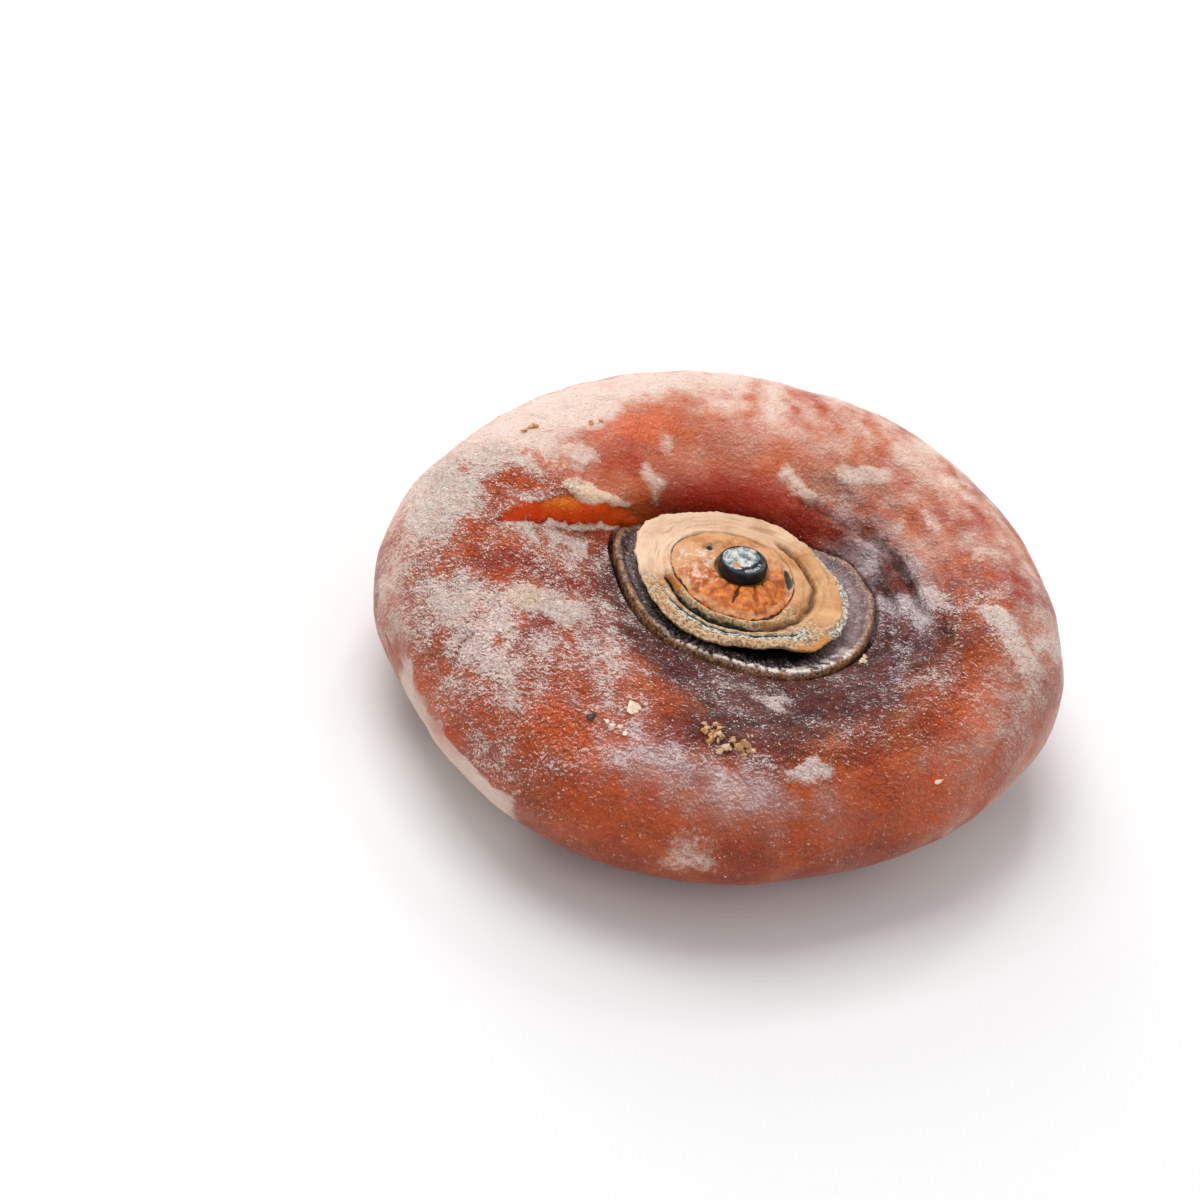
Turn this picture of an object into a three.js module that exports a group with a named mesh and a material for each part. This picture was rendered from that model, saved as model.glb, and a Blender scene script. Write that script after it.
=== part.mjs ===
// A dried persimmon, pressed into a flat cake: the fruit's flesh, the collar of peel left round the calyx, the
// trimmed calyx, the receptacle disc inside it and the cut end of the stem. Millimetres, +Z up. The origin lies
// on the surface that the fruit rests on, under the middle of its outline. +Y points to its thicker side.
import * as THREE from "three";

const { degToRad } = THREE.MathUtils;

// Driving dimensions of the fruit. Radii are given every 30 degrees from +X, round the origin.
const OUTLINE = [34.5, 34.6, 34.4, 33.6, 33.3, 33.4, 34.5, 32.9, 33.7, 33.3, 31.5, 32.3];
const CREST = 19.6; // mean height of the crest of the top
const CREST_LEAN = 2.5; // how much the crest is higher on the far side and lower on the near side
const EQUATOR = 9.6; // height where the fruit is widest
const SHOULDER = 9.5; // width of the rounded shoulder, from the crest to the widest place
const FOOT = 15; // radius of the flat spot underneath
const SHOULDER_POWER = 2.1; // of the ellipse that rounds the shoulder; 2 is a plain ellipse
const BELLY_POWER = 2.2; // of the ellipse that rounds the lower side

// The hollow in the top, with radii every 15 degrees round the calyx's centre
const CALYX_CENTRE = new THREE.Vector2(1.0, -0.3);
const HOLLOW = [
  14.0, 14.0, 13.8, 13.3, 12.4, 11.5, 11.4, 11.6, 12.0, 13.0, 14.4, 13.7, 12.3, 11.6, 11.3, 11.3, 11.3, 11.1,
  11.3, 12.0, 12.9, 13.4, 13.7, 13.9,
];
const FLOOR = 13.6; // height of the hollow's floor
const NEAR_STEP = 1.5; // the near side's upright edge, which the collar's lip rests against
const NEAR_SLOPE = 13; // width of the near side's gentle slope up to the crest
const FAR_WALL = 8.5; // width of the far side's steep wall
const FAR_WALL_POWER = 2.6; // how soon the far wall rises
const FAR_WALL_END = degToRad(35); // where the far wall ends, on the right
const FAR_WALL_FADE = degToRad(55); // over this much of its right end it fades out
const FAR_LEAN = 1.9; // how far the wall leans in over the hollow, at its steepest
const FAR_LEAN_AT = 2.5; // distance from the hollow's edge where it leans most
const FAR_LEAN_WIDTH = 1.5;

// The crease that runs to the left from the hollow, where the far wall's lip hangs over the near side
const CREASE_END = degToRad(189); // direction of its outer end
const CREASE_TURN = degToRad(-41); // from its outer end to its inner end
const CREASE_INNER = 12.7; // radius of its inner end
const CREASE_OUTER = 27;
const CREASE_CURVE = 1.65;
const CREASE_ROLL = 4.5; // width of the rounded lip above it
const CREASE_ROLL_POWER = 2.4;
const CREASE_FULL = 5; // distance from the hollow where it starts to fade
const CREASE_FADE = 6;
const CREASE_DEPTH = 0.5;
const CREASE_LEAN = 0.9; // how far the lip hangs over
const CREASE_PINCH = 0.8; // width of the creased line, and of the lip's edge
const SWIRL_REACH = degToRad(100); // how far round the skin's sections follow the crease

// The folds that run round the hollow on the right
const FOLD_HEIGHT = 0.3;
const FOLD_SPACING = 2.8;
const FOLD_MIDDLE = degToRad(20);
const FOLD_HALF = 0.6; // half the turn over which they are full
const FOLD_END = 6.5; // distance from the hollow where they start to fade
const FOLD_FADE = 3;

// The pieces that lie in the hollow. Their heights are above its floor, their radii round the calyx's centre.
const GAP = 0.3; // between neighbouring pieces
const COLLAR_INNER = 8;
const COLLAR_TOP = 1.25;
const COLLAR_LIP = 2.05;
const COLLAR_HIDDEN_MIDDLE = degToRad(100); // the far wall hides the collar here, so it has no lip
const COLLAR_HIDDEN_HALF = degToRad(44);
const CALYX_OUTLINE = [
  10.9, 10.6, 10.1, 9.8, 10.1, 10.5, 10.8, 10.9, 11.2, 11.8, 12.1, 11.3, 10.4, 10.0, 9.8, 9.9, 10.2, 10.1, 9.8,
  9.6, 10.0, 11.4, 11.2, 11.2,
];
const CALYX_TOP = 3.1;
const CALYX_EDGE = 0.9; // thickness of its edge
const CALYX_FOOT = 7; // radius of its boss underneath
const DISH_FLOOR = 1.0; // of the dish in the calyx's middle
const RECEPTACLE_CENTRE = new THREE.Vector2(-1.1, 1.2);
const RECEPTACLE_OUTLINE = [6.6, 6.6, 6.6, 6.6, 6.9, 6.9, 6.3, 5.8, 6.0, 6.7, 7.3, 6.9]; // every 30 degrees
const RECEPTACLE_TOP = 3.7;
const STEM_CENTRE = new THREE.Vector2(-0.1, 1.4);
const STEM_RADIUS = 2.45;
const STEM_TOP = 4.7;

// How finely the surfaces are divided
const FLESH_AROUND = 84;
const FLESH_CROWDING = 0.5; // how much closer together the flesh's sections are near the crease
const TOP_RINGS = 13;
const TOP_CROWDING = 1.7; // how much closer together the top's rings are near the hollow
const SHOULDER_RINGS = 7;
const BELLY_RINGS = 7;
const CALYX_AROUND = 60;
const RECEPTACLE_AROUND = 36;
const STEM_AROUND = 24;

const clamp01 = (t) => THREE.MathUtils.clamp(t, 0, 1);
const smooth = (t) => clamp01(t) ** 2 * (3 - 2 * clamp01(t));
const bell = (t) => Math.exp(-t * t);
const mix = THREE.MathUtils.lerp;

// The turn from angle b to angle a, between minus half a turn and half a turn.
const turnBetween = (a, b) => Math.atan2(Math.sin(a - b), Math.cos(a - b));

const point = (centre, angle, r, z) =>
  new THREE.Vector3(centre.x + r * Math.cos(angle), centre.y + r * Math.sin(angle), z);

// A smooth closed curve through values that are spaced evenly round the circle.
function periodic(values, angle) {
  const n = values.length;
  const turn = angle / (2 * Math.PI);
  const t = (turn - Math.floor(turn)) * n;
  const i = Math.floor(t) % n;
  const f = t - Math.floor(t);
  const [a, b, c, d] = [-1, 0, 1, 2].map((k) => values[(i + k + n) % n]);
  return 0.5 * (2 * b + (c - a) * f + (2 * a - 5 * b + 4 * c - d) * f ** 2 + (3 * b - a - 3 * c + d) * f ** 3);
}

const crestHeight = (angle) => CREST + CREST_LEAN * Math.sin(angle);
const crestRadius = (angle) => periodic(OUTLINE, angle) - SHOULDER;

// The sections of the top follow the crease: towards the middle they turn as it does.
function swirled(section, r) {
  const inwards = clamp01((CREASE_OUTER - r) / (CREASE_OUTER - CREASE_INNER));
  const near = clamp01(Math.abs(turnBetween(section, CREASE_END)) / SWIRL_REACH);
  return section + CREASE_TURN * inwards ** CREASE_CURVE * Math.cos((near * Math.PI) / 2) ** 2;
}

// How much a place has the steep far wall: 1 behind the calyx, falling to 0 sharply at the crease and slowly
// on the right. along is the distance from the crease, positive on its far side.
function farShare(angle, along) {
  const right = smooth(turnBetween(angle, FAR_WALL_END) / FAR_WALL_FADE);
  const left = 1 - (1 - clamp01(along / CREASE_ROLL)) ** CREASE_ROLL_POWER;
  return turnBetween(angle, CREASE_END - Math.PI / 2) > 0 ? left : right;
}

function folds(angle, outside) {
  const off = Math.abs(turnBetween(angle, FOLD_MIDDLE));
  const start = smooth((2 * outside) / FOLD_SPACING);
  const end = 1 - smooth((outside - FOLD_END) / FOLD_FADE);
  const round = 1 - smooth((off - FOLD_HALF) / FOLD_HALF);
  return FOLD_HEIGHT * start * end * round * Math.cos((2 * Math.PI * outside) / FOLD_SPACING);
}

// A point of the top outside the hollow. span is 0 at the hollow's edge and 1 at the crest. On the shoulder,
// out and drop are the distances from the crest, and relief is how much of the top's shape still acts.
function topPoint(section, span, relief, out, drop) {
  const rough = mix(CREASE_INNER, crestRadius(section), span);
  const angle = swirled(section, rough);
  const edge = periodic(HOLLOW, angle);
  const width = crestRadius(angle) - edge;
  const outside = width * span;
  const along = turnBetween(CREASE_END, section) * (edge + outside);
  const crest = crestHeight(angle);

  const far = farShare(angle, along);
  const steep = 1 - (1 - clamp01(outside / FAR_WALL)) ** FAR_WALL_POWER;
  const step = NEAR_STEP * smooth(outside / 0.25);
  const gentle = step + (crest - FLOOR - step) * smooth(outside / NEAR_SLOPE);
  const creaseShown = smooth((outside + 0.5) / 1.5) * (1 - smooth((outside - CREASE_FULL) / CREASE_FADE));
  const crease = -CREASE_DEPTH * creaseShown * bell(along / CREASE_PINCH);
  const shape = FLOOR + mix(gentle, steep * (crest - FLOOR), far) + crease + folds(angle, outside);

  const middle = CALYX_CENTRE.clone().multiplyScalar(1 - span);
  const place = point(middle, angle, edge + outside + out, 0);
  const lean = FAR_LEAN * far * bell((outside - FAR_LEAN_AT) / FAR_LEAN_WIDTH) * relief;
  const push = CREASE_LEAN * creaseShown * bell(along / CREASE_PINCH - 1.25) * relief;
  place.x += -lean * Math.cos(angle) - push * Math.sin(angle);
  place.y += -lean * Math.sin(angle) + push * Math.cos(angle);
  place.z = crest - drop + (shape - crest) * relief;
  return place;
}

// The flesh's sections from the hollow's middle over the crest and the widest place to the foot, as rings.
function fleshRings() {
  const rings = [];
  const middle = (share) => (section) => {
    const angle = swirled(section, 0);
    return point(CALYX_CENTRE, angle, periodic(HOLLOW, angle) * share, FLOOR);
  };
  rings.push(middle(0.5));
  for (let k = 0; k <= TOP_RINGS; k++) {
    const span = (k / TOP_RINGS) ** TOP_CROWDING;
    rings.push((section) => topPoint(section, span, 1, 0, 0));
  }
  for (let k = 1; k < SHOULDER_RINGS; k++) {
    const turn = (k / SHOULDER_RINGS) * (Math.PI / 2);
    const out = SHOULDER * Math.sin(turn) ** (2 / SHOULDER_POWER);
    const down = 1 - Math.cos(turn) ** (2 / SHOULDER_POWER);
    const relief = Math.cos(turn) ** 2;
    rings.push((section) => topPoint(section, 1, relief, out, (crestHeight(section) - EQUATOR) * down));
  }
  const origin = new THREE.Vector2(0, 0);
  for (let k = 0; k <= BELLY_RINGS; k++) {
    const turn = (k / BELLY_RINGS) * (Math.PI / 2);
    const out = k === BELLY_RINGS ? 0 : Math.cos(turn) ** (2 / BELLY_POWER);
    const height = EQUATOR * (1 - Math.sin(turn) ** (2 / BELLY_POWER));
    rings.push((section) => point(origin, section, mix(FOOT, periodic(OUTLINE, section), out), height));
  }
  rings.push((section) => point(origin, section, FOOT / 2, 0));
  return rings;
}

// Angles round the circle, closer together near the crease.
function sectionAngles() {
  return Array.from({ length: FLESH_AROUND }, (_, k) => {
    const angle = (2 * Math.PI * k) / FLESH_AROUND;
    return angle - FLESH_CROWDING * Math.sin(angle - CREASE_END);
  });
}

const evenAngles = (count) => Array.from({ length: count }, (_, k) => (2 * Math.PI * k) / count);

// Joins rings of points, in order, with triangles that face left of the way from one ring to the next.
function bridge(index, first, second, around) {
  for (let k = 0; k < around; k++) {
    const next = (k + 1) % around;
    index.push(first + k, second + k, first + next, first + next, second + k, second + next);
  }
}

function surface(points, index) {
  const geometry = new THREE.BufferGeometry().setFromPoints(points);
  geometry.setIndex(index);
  geometry.computeVertexNormals();
  return geometry;
}

// A closed surface: a point on top, rings of points going outwards and down, and a point underneath.
function closedSurface(top, rings, bottom, angles) {
  const around = angles.length;
  const points = [top, ...rings.flatMap((ring) => angles.map(ring)), bottom];
  const index = [];
  for (let ring = 0; ring + 1 < rings.length; ring++) {
    bridge(index, 1 + ring * around, 1 + (ring + 1) * around, around);
  }
  const last = 1 + (rings.length - 1) * around;
  for (let k = 0; k < around; k++) {
    const next = (k + 1) % around;
    index.push(0, 1 + k, 1 + next);
    index.push(points.length - 1, last + next, last + k);
  }
  return surface(points, index);
}

// A closed ring with an open middle, from rings of points that go round its section.
function openRing(rings, angles) {
  const around = angles.length;
  const index = [];
  rings.forEach((_, ring) => bridge(index, ring * around, ((ring + 1) % rings.length) * around, around));
  return surface(rings.flatMap((ring) => angles.map(ring)), index);
}

function flesh() {
  const top = point(CALYX_CENTRE, 0, 0, FLOOR);
  return closedSurface(top, fleshRings(), new THREE.Vector3(0, 0, 0), sectionAngles());
}

const centre = new THREE.Vector2(0, 0);
const roundRing = (r, z, middle = centre) => (angle) => point(middle, angle, r, z);

// The collar: a thin ring of leathery peel with a raised outer lip where the far wall doesn't cover it.
function collar() {
  const ring = (inset, z, lift) => (angle) => {
    const off = Math.abs(turnBetween(angle, COLLAR_HIDDEN_MIDDLE));
    const shown = smooth((off - COLLAR_HIDDEN_HALF) / 0.3);
    return point(centre, angle, periodic(HOLLOW, angle) - GAP - inset, z + lift * shown);
  };
  const lift = COLLAR_LIP - COLLAR_TOP;
  const rings = [
    roundRing(COLLAR_INNER, GAP),
    roundRing(COLLAR_INNER, COLLAR_TOP - 0.1),
    ring(1.3, COLLAR_TOP, 0),
    ring(0.75, COLLAR_TOP, lift * 0.75),
    ring(0.35, COLLAR_TOP, lift),
    ring(0, COLLAR_TOP - 0.2, lift),
    ring(0, GAP, 0),
  ];
  return openRing(rings, evenAngles(CALYX_AROUND));
}

// A ring between the dish for the receptacle, at share 0, and the calyx's outer edge, at share 1.
const calyxRing = (share, z) => (angle) => {
  const middle = RECEPTACLE_CENTRE.clone().multiplyScalar(1 - share);
  const inner = periodic(RECEPTACLE_OUTLINE, angle) + GAP;
  return point(middle, angle, mix(inner, periodic(CALYX_OUTLINE, angle), share), z);
};

// The calyx: a woody plate with a boss underneath, a dish in its middle, a lip round the dish, a groove and a
// raised outer edge.
function calyx() {
  const rings = [
    calyxRing(0, DISH_FLOOR),
    calyxRing(0.04, CALYX_TOP - 0.35),
    calyxRing(0.15, CALYX_TOP - 0.25),
    calyxRing(0.28, CALYX_TOP - 0.65),
    calyxRing(0.6, CALYX_TOP - 0.3),
    calyxRing(0.85, CALYX_TOP),
    calyxRing(0.97, CALYX_TOP - 0.1),
    calyxRing(1, CALYX_TOP - 0.4),
    calyxRing(0.99, CALYX_TOP - CALYX_EDGE),
    roundRing(CALYX_FOOT + 0.4, COLLAR_TOP + GAP),
    roundRing(CALYX_FOOT, GAP),
  ];
  const dish = point(RECEPTACLE_CENTRE, 0, 0, DISH_FLOOR);
  return closedSurface(dish, rings, point(centre, 0, 0, GAP), evenAngles(CALYX_AROUND));
}

// The receptacle: a low domed disc with a socket for the stem.
function receptacle() {
  const socket = STEM_RADIUS + GAP;
  const rim = (inset, z) => (angle) => {
    return point(RECEPTACLE_CENTRE, angle, periodic(RECEPTACLE_OUTLINE, angle) - inset, z);
  };
  const rings = [
    roundRing(socket, RECEPTACLE_TOP - 0.6, STEM_CENTRE),
    roundRing(socket + 0.1, RECEPTACLE_TOP - 0.1, STEM_CENTRE),
    roundRing(socket + 0.7, RECEPTACLE_TOP, STEM_CENTRE),
    rim(1.2, RECEPTACLE_TOP - 0.4),
    rim(0.3, RECEPTACLE_TOP - 0.9),
    rim(0, RECEPTACLE_TOP - 1.4),
    rim(0.2, DISH_FLOOR + GAP),
  ];
  const top = point(STEM_CENTRE, 0, 0, RECEPTACLE_TOP - 0.6);
  const bottom = point(RECEPTACLE_CENTRE, 0, 0, DISH_FLOOR + GAP);
  return closedSurface(top, rings, bottom, evenAngles(RECEPTACLE_AROUND));
}

// The stem's cut end: a short stub of bark, sunk in its middle where the pith has dried.
function stemStub() {
  const foot = RECEPTACLE_TOP - 0.6 + GAP;
  const ring = (r, z) => roundRing(r, z, STEM_CENTRE);
  const rings = [
    ring(STEM_RADIUS * 0.55, STEM_TOP - 0.3),
    ring(STEM_RADIUS * 0.8, STEM_TOP),
    ring(STEM_RADIUS * 0.95, STEM_TOP - 0.15),
    ring(STEM_RADIUS, STEM_TOP - 0.5),
    ring(STEM_RADIUS * 0.98, foot),
  ];
  const pith = point(STEM_CENTRE, 0, 0, STEM_TOP - 0.35);
  return closedSurface(pith, rings, point(STEM_CENTRE, 0, 0, foot), evenAngles(STEM_AROUND));
}

function material(color, roughness) {
  return new THREE.MeshStandardMaterial({ color, roughness, metalness: 0 });
}

function named(name, geometry, finish) {
  const mesh = new THREE.Mesh(geometry, finish);
  mesh.name = name;
  return mesh;
}

const persimmon = new THREE.Group();
const body = named("flesh", flesh(), material(0xa8492c, 0.55));
persimmon.add(body);

const crown = new THREE.Group();
crown.position.set(CALYX_CENTRE.x, CALYX_CENTRE.y, FLOOR);
crown.add(named("peel_collar", collar(), material(0x43302e, 0.4)));
crown.add(named("calyx", calyx(), material(0xc99560, 0.85)));
crown.add(named("receptacle", receptacle(), material(0x9c5726, 0.6)));
crown.add(named("stem_stub", stemStub(), material(0x1e2228, 0.3)));
persimmon.add(crown);

// The origin goes under the middle of the fruit's outline.
body.geometry.computeBoundingBox();
const middle = body.geometry.boundingBox.getCenter(new THREE.Vector3());
persimmon.position.set(-middle.x, -middle.y, 0);

export default persimmon;
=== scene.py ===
"""The looks of a dried, pressed persimmon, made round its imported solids.

The flesh, the collar of peel, the calyx, the receptacle and the stem's end are finely divided surfaces, each
with the outline of the solid that it replaces. The shape is worked out in millimetres and degrees round the
origin, as the solids are, and becomes metres when a mesh is made.
"""

import itertools

import bmesh
import bpy
import numpy as np
from mathutils import Matrix, Vector


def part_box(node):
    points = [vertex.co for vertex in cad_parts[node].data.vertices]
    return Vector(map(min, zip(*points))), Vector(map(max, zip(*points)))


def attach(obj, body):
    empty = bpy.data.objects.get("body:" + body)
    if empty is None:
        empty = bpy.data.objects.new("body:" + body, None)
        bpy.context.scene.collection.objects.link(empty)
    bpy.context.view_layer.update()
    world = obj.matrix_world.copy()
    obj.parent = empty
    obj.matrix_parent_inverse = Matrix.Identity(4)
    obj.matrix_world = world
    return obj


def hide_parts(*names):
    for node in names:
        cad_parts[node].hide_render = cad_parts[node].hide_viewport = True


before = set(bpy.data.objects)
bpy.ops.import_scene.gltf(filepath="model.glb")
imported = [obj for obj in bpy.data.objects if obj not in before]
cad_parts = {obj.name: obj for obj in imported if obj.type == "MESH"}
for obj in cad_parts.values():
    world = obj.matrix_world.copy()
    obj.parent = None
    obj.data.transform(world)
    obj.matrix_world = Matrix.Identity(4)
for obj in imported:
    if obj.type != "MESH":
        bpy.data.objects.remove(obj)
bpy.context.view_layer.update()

MM = 0.001

# Driving dimensions of the fruit, as in the solids, with outline radii every 30 degrees round the origin
OUTLINE = [34.5, 34.6, 34.4, 33.6, 33.3, 33.4, 34.5, 32.9, 33.7, 33.3, 31.5, 32.3]
CREST = 19.6
CREST_LEAN = 2.5
EQUATOR = 9.6
SHOULDER = 9.5
FOOT = 15
SHOULDER_POWER = 2.1
BELLY_POWER = 2.2

# The hollow in the top, with radii every 15 degrees round the calyx's centre
CALYX_CENTRE = np.array([1.0, -0.3])
HOLLOW = [
    14.0, 14.0, 13.8, 13.3, 12.4, 11.5, 11.4, 11.6, 12.0, 13.0, 14.4, 13.7,
    12.3, 11.6, 11.3, 11.3, 11.3, 11.1, 11.3, 12.0, 12.9, 13.4, 13.7, 13.9,
]
FLOOR = 13.6
NEAR_STEP = 1.5
NEAR_STEP_WIDTH = 0.25
NEAR_SLOPE = 13
FAR_WALL = 8.5
FAR_WALL_POWER = 2.6
FAR_WALL_END = 35
FAR_WALL_FADE = 55
FAR_LEAN = 1.9
FAR_LEAN_AT = 2.5
FAR_LEAN_WIDTH = 1.5

# The crease that runs to the left from the hollow
CREASE_END = 189
CREASE_TURN = -41
CREASE_INNER = 12.7
CREASE_OUTER = 27
CREASE_CURVE = 1.65
CREASE_ROLL = 4.5
CREASE_ROLL_POWER = 2.4
CREASE_FULL = 5
CREASE_FADE = 6
CREASE_DEPTH = 0.5
CREASE_LEAN = 0.9
CREASE_PINCH = 0.8
SWIRL_REACH = 100

# The folds that run round the hollow on the right
FOLD_HEIGHT = 0.3
FOLD_SPACING = 2.8
FOLD_MIDDLE = 20
FOLD_HALF = 34
FOLD_END = 6.5
FOLD_FADE = 3

# The crown: heights above the hollow's floor, radii round the calyx's centre
GAP = 0.3
COLLAR_INNER = 8
COLLAR_TOP = 1.25
COLLAR_LIP = 2.05
COLLAR_SAG = 0.1
COLLAR_HIDDEN_MIDDLE = 100
COLLAR_HIDDEN_HALF = 44
CALYX_OUTLINE = [
    10.9, 10.6, 10.1, 9.8, 10.1, 10.5, 10.8, 10.9, 11.2, 11.8, 12.1, 11.3,
    10.4, 10.0, 9.8, 9.9, 10.2, 10.1, 9.8, 9.6, 10.0, 11.4, 11.2, 11.2,
]
CALYX_TOP = 3.1
CALYX_EDGE = 0.9
CALYX_UNDERCUT = 0.7
CALYX_FOOT = 7
DISH_FLOOR = 1.0
RECEPTACLE_CENTRE = np.array([-1.1, 1.2])
RECEPTACLE_OUTLINE = [6.6, 6.6, 6.6, 6.6, 6.9, 6.9, 6.3, 5.8, 6.0, 6.7, 7.3, 6.9]
RECEPTACLE_TOP = 3.7
SOCKET_DEPTH = 0.6
STEM_CENTRE = np.array([-0.1, 1.4])
STEM_RADIUS = 2.45
STEM_TOP = 4.7

# How finely the surfaces are divided
FLESH_AROUND = 480
FLESH_CROWDING = 0.35
TOP_RINGS = 76
TOP_CROWDING = 1.25
SHOULDER_RINGS = 56
BELLY_RINGS = 54
FOOT_RINGS = 5
COLLAR_AROUND = 480
COLLAR_TOP_RINGS = 30
CALYX_AROUND = 480
CALYX_TOP_RINGS = 72
CALYX_WALL_RINGS = 6
CALYX_UNDER_RINGS = 8
CORE_AROUND = 320
CORE_TOP_RINGS = 50
STEM_AROUND = 160
STEM_RINGS = 44
CRYSTALS = 3000
CRYSTAL_SIZES = (0.09, 0.2)
CRYSTAL_SHRINK = 0.5
CHIP_POINTS = 14

# The view and the light, in metres, degrees and watts
PHOTO_SIZE = 1200
LENS = 100
SENSOR = 36
CAMERA_ELEVATION = 39
CAMERA_ROLL = 12
CAMERA_DISTANCE = 0.330
AIM_POINT = (0, 0, 0.010)
AIM_PIXEL = (719, 627.5)
KEY_PLACE = (-0.20, 0.27, 0.70)
KEY_SIZE = 0.5
KEY_POWER = 3.7
BACK_PLACE = (-0.25, 0.62, 0.32)
BACK_SIZE = 0.3
BACK_POWER = 1.25
FILL_PLACE = (0.35, -0.5, 0.45)
FILL_SIZE = 0.6
FILL_POWER = 0.7
GLINT_PLACE = (0.04, 0.42, 0.46)
GLINT_SIZE = 0.07
GLINT_POWER = 0.34
WORLD_LIGHT = 0.57
FLOOR_SIZE = 6
FLOOR_COLOUR = (0.83, 0.83, 0.83)


def smooth(t):
    """0 up to 0, 1 from 1, and a smooth step between."""
    t = np.clip(t, 0, 1)
    return t * t * (3 - 2 * t)


def bell(t):
    return np.exp(-t * t)


def mix(a, b, share):
    return a + (b - a) * share


def sine(angle):
    return np.sin(np.radians(angle))


def cosine(angle):
    return np.cos(np.radians(angle))


def turn_between(a, b):
    """The turn from b to a, from minus half a turn to half a turn, in degrees."""
    return (np.asarray(a) - b + 180) % 360 - 180


def periodic(values, angle):
    """A smooth closed curve through values that are spaced evenly round the circle."""
    values = np.asarray(values, float)
    count = len(values)
    t = (np.asarray(angle, float) / 360 % 1) * count
    i = np.floor(t).astype(int)
    f = t - i
    a, b, c, d = (values[(i + k) % count] for k in (-1, 0, 1, 2))
    return 0.5 * (
        2 * b + (c - a) * f + (2 * a - 5 * b + 4 * c - d) * f**2 + (3 * b - a - 3 * c + d) * f**3
    )


def noise(points, size, seed):
    """Smooth noise between about -1 and 1, with lumps about size across."""
    chance = np.random.default_rng(seed)
    slopes = chance.normal(size=(256, 3))
    slopes /= np.linalg.norm(slopes, axis=1)[:, None]
    order = chance.permutation(256)
    scaled = points / size
    cell = np.floor(scaled).astype(int)
    f = scaled - cell
    ease = f**3 * (f * (f * 6 - 15) + 10)
    total = np.zeros(len(points))
    for corner in itertools.product((0, 1), repeat=3):
        c = cell + corner
        key = order[(order[(order[c[:, 0] & 255] + c[:, 1]) & 255] + c[:, 2]) & 255]
        weight = np.where(corner, ease, 1 - ease).prod(axis=1)
        total += weight * ((f - corner) * slopes[key]).sum(axis=1)
    return total * 1.6


def rough_noise(points, size, seed, layers=3):
    """Noise with finer layers on it, each half the size and half the height of the one before."""
    return sum(noise(points, size / 2**k, seed + k) / 2**k for k in range(layers))


def noise_on(grid, size, seed, layers=1):
    """Layered noise at each point of a grid of any shape."""
    return rough_noise(grid.reshape(-1, 3), size, seed, layers).reshape(grid.shape[:-1])


def polar(r, angle, z, centre=(0, 0)):
    """Points at a radius and an angle round a centre, at height z."""
    x = centre[0] + r * cosine(angle)
    y = centre[1] + r * sine(angle)
    return np.stack(np.broadcast_arrays(x, y, z), axis=-1)


def crest_height(angle):
    return CREST + CREST_LEAN * sine(angle)


def crest_radius(angle):
    return periodic(OUTLINE, angle) - SHOULDER


def swirled(section, r):
    """The sections of the top follow the crease: towards the middle they turn as it does."""
    inwards = np.clip((CREASE_OUTER - r) / (CREASE_OUTER - CREASE_INNER), 0, 1)
    near = np.clip(np.abs(turn_between(section, CREASE_END)) / SWIRL_REACH, 0, 1)
    return section + CREASE_TURN * inwards**CREASE_CURVE * cosine(near * 90) ** 2


def far_share(angle, along):
    """How much a place has the steep far wall. along is the distance from the crease."""
    right = smooth(turn_between(angle, FAR_WALL_END) / FAR_WALL_FADE)
    left = 1 - (1 - np.clip(along / CREASE_ROLL, 0, 1)) ** CREASE_ROLL_POWER
    return np.where(turn_between(angle, CREASE_END - 90) > 0, left, right)


def folds(angle, outside):
    off = np.abs(turn_between(angle, FOLD_MIDDLE))
    start = smooth(2 * outside / FOLD_SPACING)
    end = 1 - smooth((outside - FOLD_END) / FOLD_FADE)
    shown = 1 - smooth((off - FOLD_HALF) / FOLD_HALF)
    return FOLD_HEIGHT * start * end * shown * np.cos(2 * np.pi * outside / FOLD_SPACING)


def top_points(section, span, relief, out, drop):
    """Points of the top outside the hollow, and what the finish needs to know about them."""
    rough = mix(CREASE_INNER, crest_radius(section), span)
    angle = swirled(section, rough)
    edge = periodic(HOLLOW, angle)
    outside = (crest_radius(angle) - edge) * span
    along = np.radians(turn_between(CREASE_END, section)) * (edge + outside)
    crest = crest_height(angle)

    far = far_share(angle, along)
    steep = 1 - (1 - np.clip(outside / FAR_WALL, 0, 1)) ** FAR_WALL_POWER
    step = NEAR_STEP * smooth(outside / NEAR_STEP_WIDTH)
    gentle = step + (crest - FLOOR - step) * smooth(outside / NEAR_SLOPE)
    crease_shown = smooth((outside + 0.5) / 1.5) * (1 - smooth((outside - CREASE_FULL) / CREASE_FADE))
    crease = -CREASE_DEPTH * crease_shown * bell(along / CREASE_PINCH)
    shape = FLOOR + mix(gentle, steep * (crest - FLOOR), far) + crease + folds(angle, outside)

    lean = FAR_LEAN * far * bell((outside - FAR_LEAN_AT) / FAR_LEAN_WIDTH) * relief
    push = CREASE_LEAN * crease_shown * bell(along / CREASE_PINCH - 1.25) * relief
    middle = CALYX_CENTRE * (1 - span)[:, None]
    r = edge + outside + out
    x = middle[:, 0] + (r - lean) * cosine(angle) - push * sine(angle)
    y = middle[:, 1] + (r - lean) * sine(angle) + push * cosine(angle)
    z = crest - drop + (shape - crest) * relief
    return np.stack([x, y, z], axis=1), {"outside": outside + out, "along": along}


# What the places inside the hollow and under the widest place are given as their distances from the hollow's
# edge and from the crease
WELL_INSIDE = -5
WELL_OUTSIDE = 40
CREASE_FAR_AWAY = 99


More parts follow.
